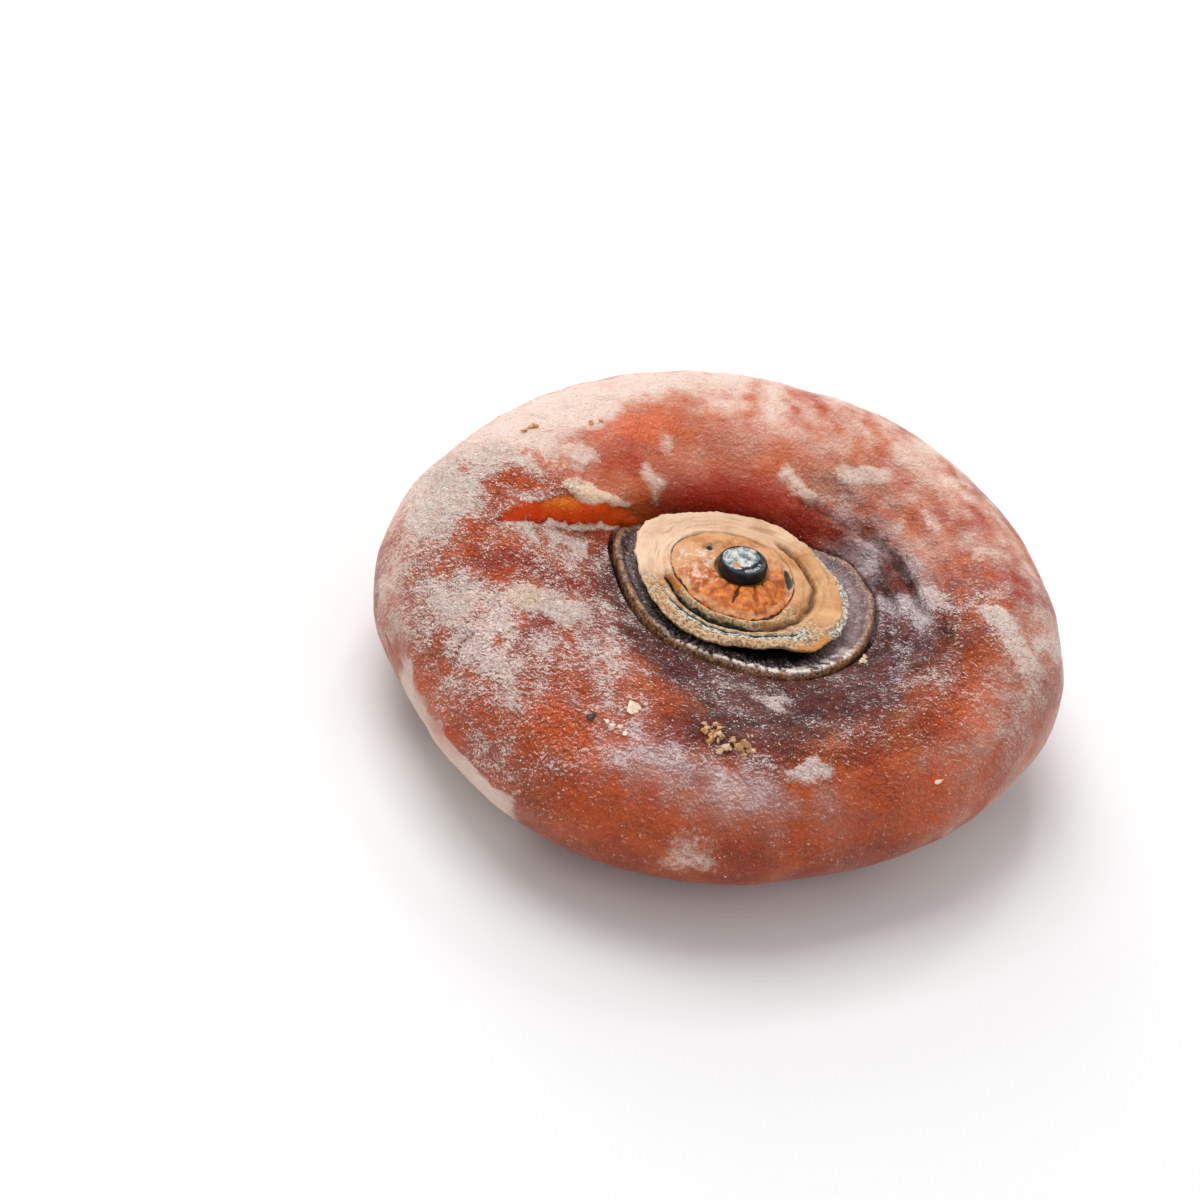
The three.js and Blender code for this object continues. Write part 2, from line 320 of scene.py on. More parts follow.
def flesh_rings(section):
    """Rings of points from the hollow's middle over the crest and the widest place to the foot's middle."""
    rings = []
    ones = np.ones_like(section)
    within = {"outside": WELL_INSIDE * ones, "along": CREASE_FAR_AWAY * ones}
    angle = swirled(section, 0)
    for share in (0.45, 0.9):
        r = periodic(HOLLOW, angle) * share
        rings.append((polar(r, angle, FLOOR, CALYX_CENTRE), within))
    for k in range(TOP_RINGS + 1):
        rings.append(top_points(section, (k / TOP_RINGS) ** TOP_CROWDING * ones, 1, 0, 0))
    for k in range(1, SHOULDER_RINGS):
        turn = 90 * k / SHOULDER_RINGS
        out = SHOULDER * sine(turn) ** (2 / SHOULDER_POWER)
        down = 1 - cosine(turn) ** (2 / SHOULDER_POWER)
        drop = (crest_height(section) - EQUATOR) * down
        rings.append(top_points(section, ones, cosine(turn) ** 2, out, drop))
    below = {"outside": WELL_OUTSIDE * ones, "along": CREASE_FAR_AWAY * ones}
    for k in range(BELLY_RINGS + 1):
        turn = 90 * k / BELLY_RINGS
        share = cosine(turn) ** (2 / BELLY_POWER) if k < BELLY_RINGS else 0
        r = mix(FOOT, periodic(OUTLINE, section), share)
        z = EQUATOR * (1 - sine(turn) ** (2 / BELLY_POWER))
        rings.append((polar(r, section, z), below))
    for k in range(1, FOOT_RINGS):
        rings.append((polar(FOOT * (1 - k / FOOT_RINGS), section, 0), below))
    return rings


def section_angles(count, crowding):
    """Angles round the circle, closer together near the crease."""
    angle = np.arange(count) * 360 / count
    return angle - np.degrees(crowding * np.sin(np.radians(angle - CREASE_END)))


def normals(grid):
    """The outward directions of a grid of rings of points."""
    down = np.gradient(grid, axis=0)
    round_ = np.roll(grid, -1, axis=1) - np.roll(grid, 1, axis=1)
    out = np.cross(down, round_)
    return out / np.maximum(np.linalg.norm(out, axis=2), 1e-9)[:, :, None]


def arc_lengths(grid):
    """How far each ring is from the first, along the surface, on average."""
    steps = np.linalg.norm(np.diff(grid, axis=0), axis=2).mean(axis=1)
    return np.concatenate([[0], np.cumsum(steps)])


# The bake's map: the upper rings fill a large disc and the lower rings a small one in the corner.
UPPER_DISC = (0.405, 0.405, 0.4)
LOWER_DISC = (0.87, 0.87, 0.125)
WHOLE_DISC = (0.5, 0.5, 0.49)


def disc_map(lengths, angle, disc, start, end):
    middle_u, middle_v, radius = disc
    r = radius * (lengths - start) / (end - start)
    u = middle_u + r[:, None] * cosine(angle)
    v = middle_v + r[:, None] * sine(angle)
    return np.stack([u, v], axis=2)


def quads(a, b, around):
    """Faces between two rings of points, of which a and b are the first."""
    k = np.arange(around)
    after = (k + 1) % around
    return np.stack([a + k, b + k, b + after, a + after], axis=1).tolist()


def quad_corners(a, b):
    """The bake's map at the corners of the faces between two rings, from the map at the rings' points."""
    return np.stack([a, b, np.roll(b, -1, axis=0), np.roll(a, -1, axis=0)], axis=1).reshape(-1, 2)


def add_piece(name, points, faces, fields):
    """An object from points in millimetres, faces and fields, which are numbers at each point."""
    mesh = bpy.data.meshes.new(name)
    mesh.from_pydata((points * MM).tolist(), [], faces)
    for field, values in fields.items():
        column = mesh.attributes.new(field, "FLOAT", "POINT")
        column.data.foreach_set("value", values.astype(np.float32))
    piece = bpy.data.objects.new(name, mesh)
    bpy.context.scene.collection.objects.link(piece)
    return piece


def add_skin(name, points, faces, corners, fields):
    """A smooth piece with the bake's map, which is given at the faces' corners."""
    piece = add_piece(name, points, faces, fields)
    piece.data.shade_smooth()
    layer = piece.data.uv_layers.new(name="OFBake")
    layer.uv.foreach_set("vector", np.concatenate(corners).astype(np.float32).ravel())
    return piece


def mean_distance(ring, place):
    return np.linalg.norm(ring - place, axis=-1).mean()


def closed_mesh(name, grid, angle, split, fields):
    """A closed mesh from a grid of rings, which go outwards over the top and inwards underneath. split is the
    ring where the bake's map changes from the upper to the lower disc."""
    count, around = grid.shape[:2]
    points = np.concatenate([grid[:1].mean(axis=1), grid.reshape(-1, 3), grid[-1:].mean(axis=1)])
    lengths = arc_lengths(grid) + mean_distance(grid[0], points[0])
    total = lengths[-1] + mean_distance(grid[-1], points[-1])
    upper = disc_map(lengths, angle, UPPER_DISC, 0, lengths[split])
    lower = disc_map(lengths, angle, LOWER_DISC, total, lengths[split])

    k = np.arange(around)
    after = (k + 1) % around
    faces = np.stack([0 * k, 1 + k, 1 + after], axis=1).tolist()
    middle = np.tile(UPPER_DISC[:2], (around, 1))
    corners = [np.stack([middle, upper[0], upper[0][after]], axis=1).reshape(-1, 2)]
    for ring in range(count - 1):
        first = 1 + ring * around
        faces += quads(first, first + around, around)
        flat = upper if ring < split else lower
        corners.append(quad_corners(flat[ring], flat[ring + 1]))
    first = 1 + (count - 1) * around
    faces += np.stack([0 * k + len(points) - 1, first + after, first + k], axis=1).tolist()
    middle = np.tile(LOWER_DISC[:2], (around, 1))
    corners.append(np.stack([middle, lower[-1][after], lower[-1]], axis=1).reshape(-1, 2))

    columns = {}
    for field, values in fields.items():
        columns[field] = np.concatenate([[values[0].mean()], values.ravel(), [values[-1].mean()]])
    return add_skin(name, points, faces, corners, columns)


def ring_mesh(name, grid, angle, fields):
    """A closed ring with an open middle, from a grid of rings that go round its section."""
    count, around = grid.shape[:2]
    start = mean_distance(grid[0], grid[0].mean(axis=0))
    lengths = arc_lengths(grid) + start
    total = lengths[-1] + mean_distance(grid[0], grid[-1])
    flat = disc_map(np.append(lengths, total), angle, WHOLE_DISC, 0, total)
    faces = []
    corners = []
    for ring in range(count):
        faces += quads(ring * around, (ring + 1) % count * around, around)
        corners.append(quad_corners(flat[ring], flat[ring + 1]))
    columns = {field: values.ravel() for field, values in fields.items()}
    return add_skin(name, grid.reshape(-1, 3), faces, corners, columns)


def box_of(node):
    """The low and high corners of a solid's box, in millimetres."""
    return [np.array(corner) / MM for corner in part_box(node)]


def fit_to(grid, node):
    """Scales and shifts points so that they fill the box of a solid."""
    low, high = box_of(node)
    points = grid.reshape(-1, 3)
    own_low, own_high = points.min(axis=0), points.max(axis=0)
    return low + (grid - own_low) * (high - low) / (own_high - own_low)


# Painted shade: the near black that stands for the gaps between the parts, where no light reaches
GAP_SHADE = (0.02, 0.014, 0.010)

# The colour sockets of a mix node
MIX_A = 6
MIX_B = 7
MIX_RESULT = 2


class Finish:
    """A material whose nodes are added and joined one call at a time."""

    def __init__(self, name):
        self.material = bpy.data.materials.new(name)
        self.material.use_nodes = True
        self.nodes = self.material.node_tree.nodes
        self.links = self.material.node_tree.links
        self.shader = self.nodes["Principled BSDF"]
        self.place = self.nodes.new("ShaderNodeTexCoord").outputs["Object"]

    def put(self, socket, value):
        if isinstance(value, bpy.types.NodeSocket):
            self.links.new(value, socket)
        elif isinstance(value, tuple) and len(value) == 3 and socket.type == "RGBA":
            socket.default_value = (*value, 1)
        else:
            socket.default_value = value

    def field(self, name):
        node = self.nodes.new("ShaderNodeAttribute")
        node.attribute_name = name
        return node.outputs["Fac"]

    def stretched(self, stretch, shift):
        node = self.nodes.new("ShaderNodeMapping")
        self.put(node.inputs["Vector"], self.place)
        node.inputs["Scale"].default_value = stretch
        node.inputs["Location"].default_value = shift if isinstance(shift, tuple) else [shift] * 3
        return node.outputs["Vector"]

    def lumps(self, size, detail=4, rough=0.6, stretch=(1, 1, 1), shift=0.0, twist=0.0):
        """Noise from 0 to 1 with lumps of about size millimetres, which twist distorts."""
        node = self.nodes.new("ShaderNodeTexNoise")
        self.put(node.inputs["Vector"], self.stretched(stretch, shift))
        node.inputs["Scale"].default_value = 1 / (size * MM)
        node.inputs["Detail"].default_value = detail
        node.inputs["Roughness"].default_value = rough
        node.inputs["Distortion"].default_value = twist
        return node.outputs["Fac"]

    def frost_and_sheen(self, slopes, tiny, share, film, crisp):
        """How much frost covers a place, with painted light on it. Where crisp is 1 it lies on one side of
        the beads, whose slopes are given, as a painted highlight on their lit side, and is broken up by a
        tiny noise, and where crisp is 0 it is a smooth film."""
        on_beads = self.step(self.add(slopes, self.sway(share, 0.3)), -0.015, 0.035)
        broken = self.times(on_beads, self.step(tiny, 0.34, 0.56, 0.35, 1.0))
        apart = self.add(self.times(broken, 0.78), self.times(film, 0.22))
        return self.add(film, self.times(crisp, self.add(apart, self.times(film, -1.0))))

    def math(self, operation, a, b=0.0, c=0.0):
        node = self.nodes.new("ShaderNodeMath")
        node.operation = operation
        for socket, value in zip(node.inputs, (a, b, c)):
            self.put(socket, value)
        return node.outputs["Value"]

    def add(self, *terms):
        total = terms[0]
        for term in terms[1:]:
            total = self.math("ADD", total, term)
        return total

    def times(self, *terms):
        total = terms[0]
        for term in terms[1:]:
            total = self.math("MULTIPLY", total, term)
        return total

    def sway(self, value, size):
        """How far value is from 0.5, size times over."""
        return self.times(self.add(value, -0.5), size)

    def step(self, value, low, high, to_low=0.0, to_high=1.0):
        """A smooth step from to_low, where value is low, to to_high, where it is high."""
        node = self.nodes.new("ShaderNodeMapRange")
        node.interpolation_type = "SMOOTHSTEP"
        for socket, number in zip(node.inputs, (value, low, high, to_low, to_high)):
            self.put(socket, number)
        return node.outputs["Result"]

    def broken(self, field, value, low, high, to_low=0.0, to_high=1.0):
        """A field times a step of value, which breaks it up."""
        return self.times(self.field(field), self.step(value, low, high, to_low, to_high))

    def blend(self, a, b, share):
        """Colour a where share is 0 and colour b where it is 1."""
        node = self.nodes.new("ShaderNodeMix")
        node.data_type = "RGBA"
        node.clamp_factor = True
        self.put(node.inputs["Factor"], share)
        self.put(node.inputs[MIX_A], a)
        self.put(node.inputs[MIX_B], b)
        return node.outputs[MIX_RESULT]

    def layered(self, colour, *layers):
        """A colour with layers over it, each a colour and how much of it shows."""
        for layer, share in layers:
            colour = self.blend(colour, layer, share)
        return colour

    def bump(self, height, depth, strength=1.0):
        """Tilts the shading as a relief depth millimetres high would."""
        node = self.nodes.new("ShaderNodeBump")
        node.inputs["Strength"].default_value = strength
        node.inputs["Distance"].default_value = depth * MM
        self.put(node.inputs["Height"], height)
        self.put(self.shader.inputs["Normal"], node.outputs["Normal"])

    def surface(self, **inputs):
        for name, value in inputs.items():
            self.put(self.shader.inputs[name.replace("_", " ")], value)
        return self.material


def arc_window(angle, middle, half, fade):
    """1 within half degrees of the middle, fading to 0 over fade degrees more."""
    return 1 - smooth((np.abs(turn_between(angle, middle)) - half) / fade)


def span_window(value, low, high, fade):
    """1 between low and high, fading to 0 over fade on both sides."""
    return smooth((value - low) / fade + 1) * smooth((high - value) / fade + 1)


# How far noise moves the edges of the patches on the flesh, and over how many degrees the ends of a line fade
PATCH_RAGGED = 0.9
LINE_FADE = 8


class Flesh:
    """The flesh's surface: a grid of points, and where each lies as seen from the calyx."""

    def __init__(self):
        self.section = section_angles(FLESH_AROUND, FLESH_CROWDING)
        rings = flesh_rings(self.section)
        self.grid = np.stack([points for points, _ in rings])
        self.outside = np.stack([facts["outside"] for _, facts in rings])
        self.along = np.stack([facts["along"] for _, facts in rings])
        middle = np.array([*CALYX_CENTRE, FLOOR])
        start = np.linalg.norm(self.grid[0] - middle, axis=1)
        steps = np.linalg.norm(np.diff(self.grid, axis=0), axis=2)
        self.reach = start + np.concatenate([np.zeros((1, FLESH_AROUND)), np.cumsum(steps, axis=0)])
        x, y, self.height = np.moveaxis(self.grid - [*CALYX_CENTRE, 0], 2, 0)
        self.bearing = np.degrees(np.arctan2(y, x)) % 360
        self.radius = np.hypot(x, y)
        self.out = normals(self.grid)
        self.broad = self.noise(7, 31, 3)
        self.fine = self.noise(2.2, 41, 3)
        shift = np.stack([self.noise(2.4, seed, 3) for seed in (21, 22, 23)], axis=2)
        self.warped = self.grid + PATCH_RAGGED * shift

    def noise(self, size, seed, layers=1):
        return noise_on(self.grid, size, seed, layers)

    def grain_noise(self, across, along, seed, layers=1):
        """Noise with lumps that are longer round the calyx than away from it."""
        places = polar(self.radius / along, self.bearing, self.reach / across)
        return noise_on(places, 1, seed, layers)

    def nearest(self, bearing, reach):
        """The grid's point nearest to a bearing and a distance along the surface from the calyx's centre."""
        across = np.radians(turn_between(self.bearing, bearing)) * self.radius
        return np.unravel_index(np.hypot(across, self.reach - reach).argmin(), self.reach.shape)

    def patch(self, bearing, reach, long, wide, tilt=0, edge=0.5):
        """A ragged oval round the place at a bearing and a reach. long is half its length, which runs round
        the calyx if tilt is 0 and away from it if tilt is 90, and wide is half its width."""
        place = self.nearest(bearing, reach)
        up = self.out[place]
        heading = bearing + 90 - tilt
        ahead = np.array([cosine(heading), sine(heading), 0])
        ahead = ahead - up * (ahead @ up)
        ahead /= np.linalg.norm(ahead)
        off = self.warped - self.grid[place]
        u = off @ ahead
        v = off @ np.cross(ahead, up)
        w = off @ up / (1.5 * max(long, wide))
        distance = np.sqrt((u / long) ** 2 + (v / wide) ** 2 + w**2)
        return 1 - smooth((distance - 1 + edge) / (2 * edge))

    def line(self, places, width, shift=0.0):
        """1 along a line through places, each a bearing and a reach, and 0 farther away than about its width.
        shift moves the line outwards."""
        bearings, reaches = zip(*sorted(places))
        turned = turn_between(self.bearing, 0)
        ends = span_window(turned, bearings[0], bearings[-1], LINE_FADE)
        wander = 0.2 * self.noise(2.5, 97, 2)
        return ends * bell((self.reach - np.interp(turned, bearings, reaches) - shift + wander) / width)

    def patches(self, places):
        """The greatest of several ovals, each with its strength as the first number."""
        return np.max([place[0] * self.patch(*place[1:]) for place in places], axis=0)


# The patches on the flesh: strength, bearing in degrees, reach, half length, half width and tilt
THICK_SUGAR = [
    (1.0, 178, 38.0, 9.0, 5.0, 0), (1.0, 160, 34.5, 9.0, 5.0, 0), (1.0, 140, 31.5, 9.0, 4.4, 0),
    (0.9, 120, 32.0, 9.0, 4.0, 0), (0.55, 160, 28.6, 3.5, 1.6, 40), (0.6, 100, 32.5, 9.0, 3.4, 0),
    (0.5, 78, 31.5, 9.0, 2.8, 0), (0.45, 173, 28.5, 5.0, 2.4, 0), (0.6, 124, 23.4, 1.5, 2.6, 5),
    (0.62, 136, 18.8, 1.2, 2.4, -8),
    (0.6, 150, 25.8, 2.6, 1.1, 60), (0.9, 176, 18.8, 1.8, 1.7, 0), (0.6, 191, 16.9, 1.1, 2.0, 0),
    (0.85, 210, 25.4, 3.0, 1.9, 60), (1.2, 215, 22.6, 2.7, 1.9, 60), (0.5, 201, 32.4, 4.0, 2.8, 0),
    (0.65, 209, 34.6, 3.4, 2.4, 0), (0.8, 231, 33.0, 2.0, 1.6, 0), (0.5, 240, 29.0, 4.0, 1.8, 0),
    (0.75, 287, 18.1, 1.9, 1.7, 0), (0.42, 274, 16.0, 3.2, 1.4, 0), (0.85, 290, 28.1, 2.8, 1.5, 0),
    (0.55, 269, 37.4, 2.4, 2.4, 0), (0.5, 314, 36.0, 3.0, 1.6, 0), (0.7, 59, 23.4, 3.4, 1.3, -40),
    (0.7, 77, 18.9, 1.7, 0.9, 20), (0.7, 70, 17.4, 1.6, 0.8, -20), (0.5, 60, 19.0, 3.6, 0.9, -40),
    (0.45, 50, 21.9, 1.9, 0.9, -30), (0.7, 36, 25.0, 1.7, 1.1, -20), (0.62, 22, 27.9, 3.0, 2.5, 0),
    (0.95, 358, 28.2, 2.6, 1.9, 110), (0.85, 353.5, 31.0, 3.8, 2.0, 126), (0.65, 349, 34.2, 3.4, 2.4, 126),
    (0.4, 268, 29.4, 3.4, 1.0, 0), (0.4, 248, 26.6, 4.0, 1.6, 0), (0.4, 341, 29.0, 2.4, 1.6, 0),
]
CREAM_SUGAR = [
    (1.0, 161, 22.4, 2.4, 1.5, 67), (0.95, 153, 19.2, 2.6, 0.8, 76), (0.8, 209, 27.2, 2.4, 1.6, 60),
    (0.5, 206, 30.4, 2.0, 1.2, 60), (0.3, 269, 37.4, 2.0, 2.0, 0), (0.4, 77, 18.9, 1.4, 0.7, 20),
    (0.4, 339, 28.9, 2.0, 1.4, 0),
]
ORANGE_FLESH = [
    (0.9, 241, 31.9, 4.6, 2.4, 0), (0.7, 255, 21.3, 3.6, 2.8, 20), (0.5, 241, 18.1, 2.6, 2.2, 0),
    (0.7, 318, 33.6, 8.0, 3.4, 0), (0.6, 331, 28.5, 5.0, 3.6, 0), (0.45, 305, 31.0, 5.0, 2.8, 0),
    (0.45, 262, 35.0, 8.0, 3.0, 0), (0.45, 292, 34.0, 8.0, 2.6, 0), (0.6, 130, 25.0, 3.4, 2.2, 0),
    (0.4, 340, 36.0, 6.0, 3.0, 0), (0.5, 191, 29.0, 2.6, 2.0, 0), (0.5, 219, 40.5, 4.0, 2.4, 0),
]
RED_FLESH = [
    (1.0, 195, 26.2, 1.2, 3.8, 0), (1.0, 199, 21.6, 1.6, 3.6, 0), (1.0, 219, 26.6, 3.2, 1.5, 60),
    (1.0, 217, 18.4, 3.2, 1.9, 60), (0.9, 197, 31.2, 1.0, 2.8, 0), (0.9, 215, 34.8, 2.0, 0.5, 70),
    (0.8, 226, 21.5, 3.2, 1.3, 30), (0.5, 262, 33.0, 1.0, 1.4, 0), (0.6, 9, 30.0, 3.4, 1.6, 0),
    (0.6, 52, 25.8, 3.0, 1.4, 0), (0.6, 30, 29.0, 2.4, 1.4, 0), (0.6, 140, 22.5, 3.6, 1.8, 40),
]

# Two arcs at the hollow's right end where the flesh has folded: bearing and reach at points along them
OUTER_FOLD = [(66, 16.8), (55, 17.2), (45, 18.5), (34, 19.2), (21, 19.2), (6, 20.0), (-3, 21.7), (-8, 23.7)]
INNER_FOLD = [(45, 14.2), (31, 15.3), (19, 16.6), (8, 17.4), (-4, 17.2)]


# The left side, where the frost is thick and grainy: its middle, half width and fade in degrees
FROSTED_LEFT = (206, 34, 20)

# Where fine sugar lies from some reach outwards: strength, middle, half width, fade, and where it starts and
# over what width it rises
FROSTED_SECTORS = [
    (0.38, 32, 62, 28, 19, 12), (0.16, 24, 22, 20, 25, 6), (0.10, 100, 60, 26, 16, 4),
    (0.30, 112, 36, 26, 23, 8),
]
# The same for sugar that ends at a reach too: strength, middle, half width, fade, and its start, end and fade
FROSTED_ARCS = [
    (0.40, 196, 20, 14, 15, 44, 4), (0.17, 226, 8, 14, 18, 40, 4), (0.19, 285, 75, 25, 12, 23, 5),
    (0.14, 236, 12, 12, 25, 32, 4),
]


def frost_share(flesh):
    """How much of the flesh fine sugar covers, beside the patches of thick sugar."""
    b, reach = flesh.bearing, flesh.reach
    share = 0.04 + 0 * reach
    for strength, middle, half, fade, start, rise in FROSTED_SECTORS:
        share += strength * arc_window(b, middle, half, fade) * smooth((reach - start) / rise)
    for strength, middle, half, fade, low, high, edge in FROSTED_ARCS:
        share += strength * arc_window(b, middle, half, fade) * span_window(reach, low, high, edge)
    share += 0.4 * flesh.patch(265, 29.5, 13, 3.4, 0, 0.9)
    share += 0.5 * flesh.patch(20, 17.5, 9, 3.2, 0, 0.9)
    share += 0.2 * smooth((10 - flesh.height) / 6) * arc_window(b, 120, 85, 40)
    clouds = 1 + flesh.broad + 0.9 * flesh.fine
    even = 0.09 * arc_window(b, *FROSTED_LEFT) * span_window(reach, 15, 44, 4)
    return np.clip(share * clouds + even, 0.015, 1)


def flesh_fields(flesh):
    """What the finish is told at each point of the flesh, each from 0 to 1."""
    b, reach = flesh.bearing, flesh.reach
    broad, fine = flesh.broad, flesh.fine
    side = smooth((14 - flesh.height) / 5)
    lip = lip_window(flesh, 0.0, 1.6, 0.6, 10.9, 1.4, 0.9)
    orange = np.maximum(flesh.patches([(*place, 0.8) for place in ORANGE_FLESH]), lip)
    red = flesh.patches([(*place, 0.7) for place in RED_FLESH])
    red = np.maximum(red, lip_window(flesh, -0.3, 0.25, 0, 12))
    # Partly painted shade: the far wall behind the calyx is painted a deep red, for its red flesh and for its
    # shade
    wall = arc_window(b, 92, 28, 22) * (1 - smooth((reach - 15.5 + fine) / 4.5))
    red = np.maximum(red, 0.9 * wall * (1 - lip))

    sugar = flesh.patches([(*place, 0.7) for place in THICK_SUGAR])
    back = arc_window(b, 110, 78, 30) * smooth((reach - 31) / 5) * (1 - 0.35 * side)
    left_side = arc_window(b, 223, 13, 9) * smooth((reach - 39.8 + 1.5 * fine) / 2.0)
    sugar = np.maximum(sugar, 0.62 * back)
    sugar = np.maximum(sugar, 0.95 * left_side)
    sugar = np.clip(sugar + (0.28 * broad + 0.14 * fine) * (sugar > 0.02), 0, 1) * (1 - 0.8 * orange)

    collar_side = arc_window(b, 285, 122, 24)
    dark_reach = periodic([23, 20, 17, 15, 15, 15, 16, 16.5, 19, 26, 24, 23], b)
    maroon = collar_side * (1 - smooth((reach - dark_reach + 2.2 * broad + 0.8 * fine) / 9 + 0.5))
    maroon = maroon * (1 - 0.75 * orange) * (1 - 0.6 * red)

    left = arc_window(b, *FROSTED_LEFT) * smooth((reach - 10) / 3) * smooth((45 - reach) / 9)
    near = arc_window(b, 285, 70, 30) * span_window(reach, 12, 26, 5)
    right_end = arc_window(b, 10, 35, 20) * span_window(reach, 13, 20, 3)
    right = arc_window(b, 20, 40, 25) * span_window(reach, 12, 20, 4)
    below = 0.45 * arc_window(b, 280, 80, 20) * span_window(reach, 24, 36, 4)
    grain = np.maximum.reduce([left, 0.9 * near, 0.7 * right, below])
    crisp = np.clip(0.3 + 0.7 * left + 0.6 * near + 0.2 * arc_window(b, 270, 90, 30), 0, 1)
    return {
        "sugar": sugar,
        "cream": flesh.patches(CREAM_SUGAR),
        "ridge": lip_window(flesh, -1.5, -0.2, 0.8, 5.8),
        "maroon": np.clip(maroon, 0, 1),
        "red": red,
        "orange": orange,
        # Partly painted light: lip and glow mark where the thin lip of the crease is painted bright, as lit
        # from behind
        "lip": lip * mix(0.45, 1, smooth((flesh.outside - 1) / 3)),
        # Painted shade: the near side's outer part, away from the light, is painted darker
        "near_side_shade": arc_window(b, 270, 75, 30) * smooth((reach - 25) / 9),
        "warm": left * (1 - red) * (1 - lip),
        # Painted sheen: a lilac sheen on the frost of the near side and at the hollow's right end
        "lilac_sheen": np.clip(flesh.patch(266, 28.5, 14, 4, 0, 0.9) + right_end + 0.6 * maroon * near, 0, 1),
        "beyond": arc_window(b, 100, 50, 25) * span_window(reach, 20, 29, 4),
        "glow": lip * span_window(flesh.outside, 4.4, 6.2, 1.2) * smooth((flesh.along - 0.3) / 1.2),
        # Where fine sugar lies; in the finish, where it is crisp, it also paints a highlight on one side of
        # the beads
        "frost_and_sheen": frost_share(flesh) * (1 - 0.9 * orange) * (1 - 0.4 * red) * (1 - lip),
        "grain": np.clip(grain + 0.3 * fine, 0.12, 1) * (1 - 0.7 * lip),
        "crisp": crisp * (1 - 0.5 * left_side),
    }


def lip_window(flesh, start, end, inner, outer, taper=0.0, soft=0.3):
    """1 in a band along the crease: start and end are distances from it, inner and outer from the hollow.
    taper is how much narrower the band is at its outer end, and soft is how far the end takes to fade."""
    wander = 0.25 * flesh.noise(2.5, 95, 2) + soft * 0.3 * flesh.noise(1.2, 96, 2)
    end = end - taper * smooth((flesh.outside - inner) / (outer - inner))
    place = flesh.along + wander
    band = smooth((place - start) / 0.3 + 1) * smooth((end - place) / soft + 1)
    return band * span_window(flesh.outside + 2 * wander, inner, outer, 1.5)


def flesh_relief(flesh, fields):
    """How far the surface stands out or in, in millimetres."""
    b, reach = flesh.bearing, flesh.reach
    clear = smooth(flesh.outside / 1.5)
    away = smooth(flesh.height / 2.5)
    relief = 0.26 * flesh.noise(9, 51, 2) + 0.07 * flesh.noise(2.4, 61, 2)
    near = arc_window(b, 290, 75, 30) * span_window(reach, 13, 26, 5)
    right = arc_window(b, 20, 45, 20) * span_window(reach, 13, 20, 3)
    relief += 0.11 * np.maximum(near, 0.8 * right) * (1 - 2 * np.abs(flesh.noise(2.2, 71, 3)))
    relief += 0.12 * np.maximum(near, 0.8 * right) * (1 - 2 * np.abs(flesh.grain_noise(1.6, 4.5, 75, 2)))
    relief += 0.08 * np.maximum(near, right) * (1 - 2 * np.abs(flesh.grain_noise(0.8, 3.0, 77, 2)))
    left = arc_window(b, 205, 40, 20) * span_window(reach, 14, 38, 3)
    relief += 0.13 * left * flesh.noise(1.1, 81, 2)
    relief -= 0.55 * flesh.line(OUTER_FOLD, 0.4) + 0.38 * flesh.line(INNER_FOLD, 0.4)
    relief += 0.42 * flesh.line(OUTER_FOLD, 0.9, 1.3) + 0.3 * flesh.line(INNER_FOLD, 0.7, 1.0)
    relief += 0.12 * smooth((fields["sugar"] - 0.5) / 0.25) * (1 - smooth((reach - 36) / 4))
    relief += 0.3 * fields["cream"] + 0.5 * fields["ridge"] * (1 + flesh.noise(1.0, 85, 2))
    relief -= 0.3 * flesh.patch(215, 34.8, 2.0, 0.35, 70)
    bevel = arc_window(b, 212, 26, 12)
    relief += 0.3 * bevel * bell((reach - 41) / 1.4)
    return relief * clear * away


def crease_lift(flesh):
    """How much higher the surface is at the crease: the far side bulges over it and its bottom is deeper."""
    shown = span_window(flesh.outside, 1.5, 9.5, 3)
    bulge = 0.8 * smooth((flesh.along - 0.1) / 0.6) * (1 - smooth((flesh.along - 1) / 3))
    return shown * (bulge - 0.5 * bell(flesh.along / 0.35))


def make_flesh(flesh, fields):
    grid = flesh.grid + flesh_relief(flesh, fields)[:, :, None] * flesh.out
    grid[:, :, 2] += crease_lift(flesh)
    grid = fit_to(grid, "flesh")
    split = 2 + TOP_RINGS + SHOULDER_RINGS
    piece = closed_mesh("flesh_skin", grid, flesh.section, split, fields)
    return piece, grid


# The size of the flesh's beads, and how far apart their height is compared to find their slopes
BEAD = 0.42
BEAD_SHIFT = 0.11
BEAD_STRETCH = (0.9, 1, 1)
BEAD_TWIST = 0.7


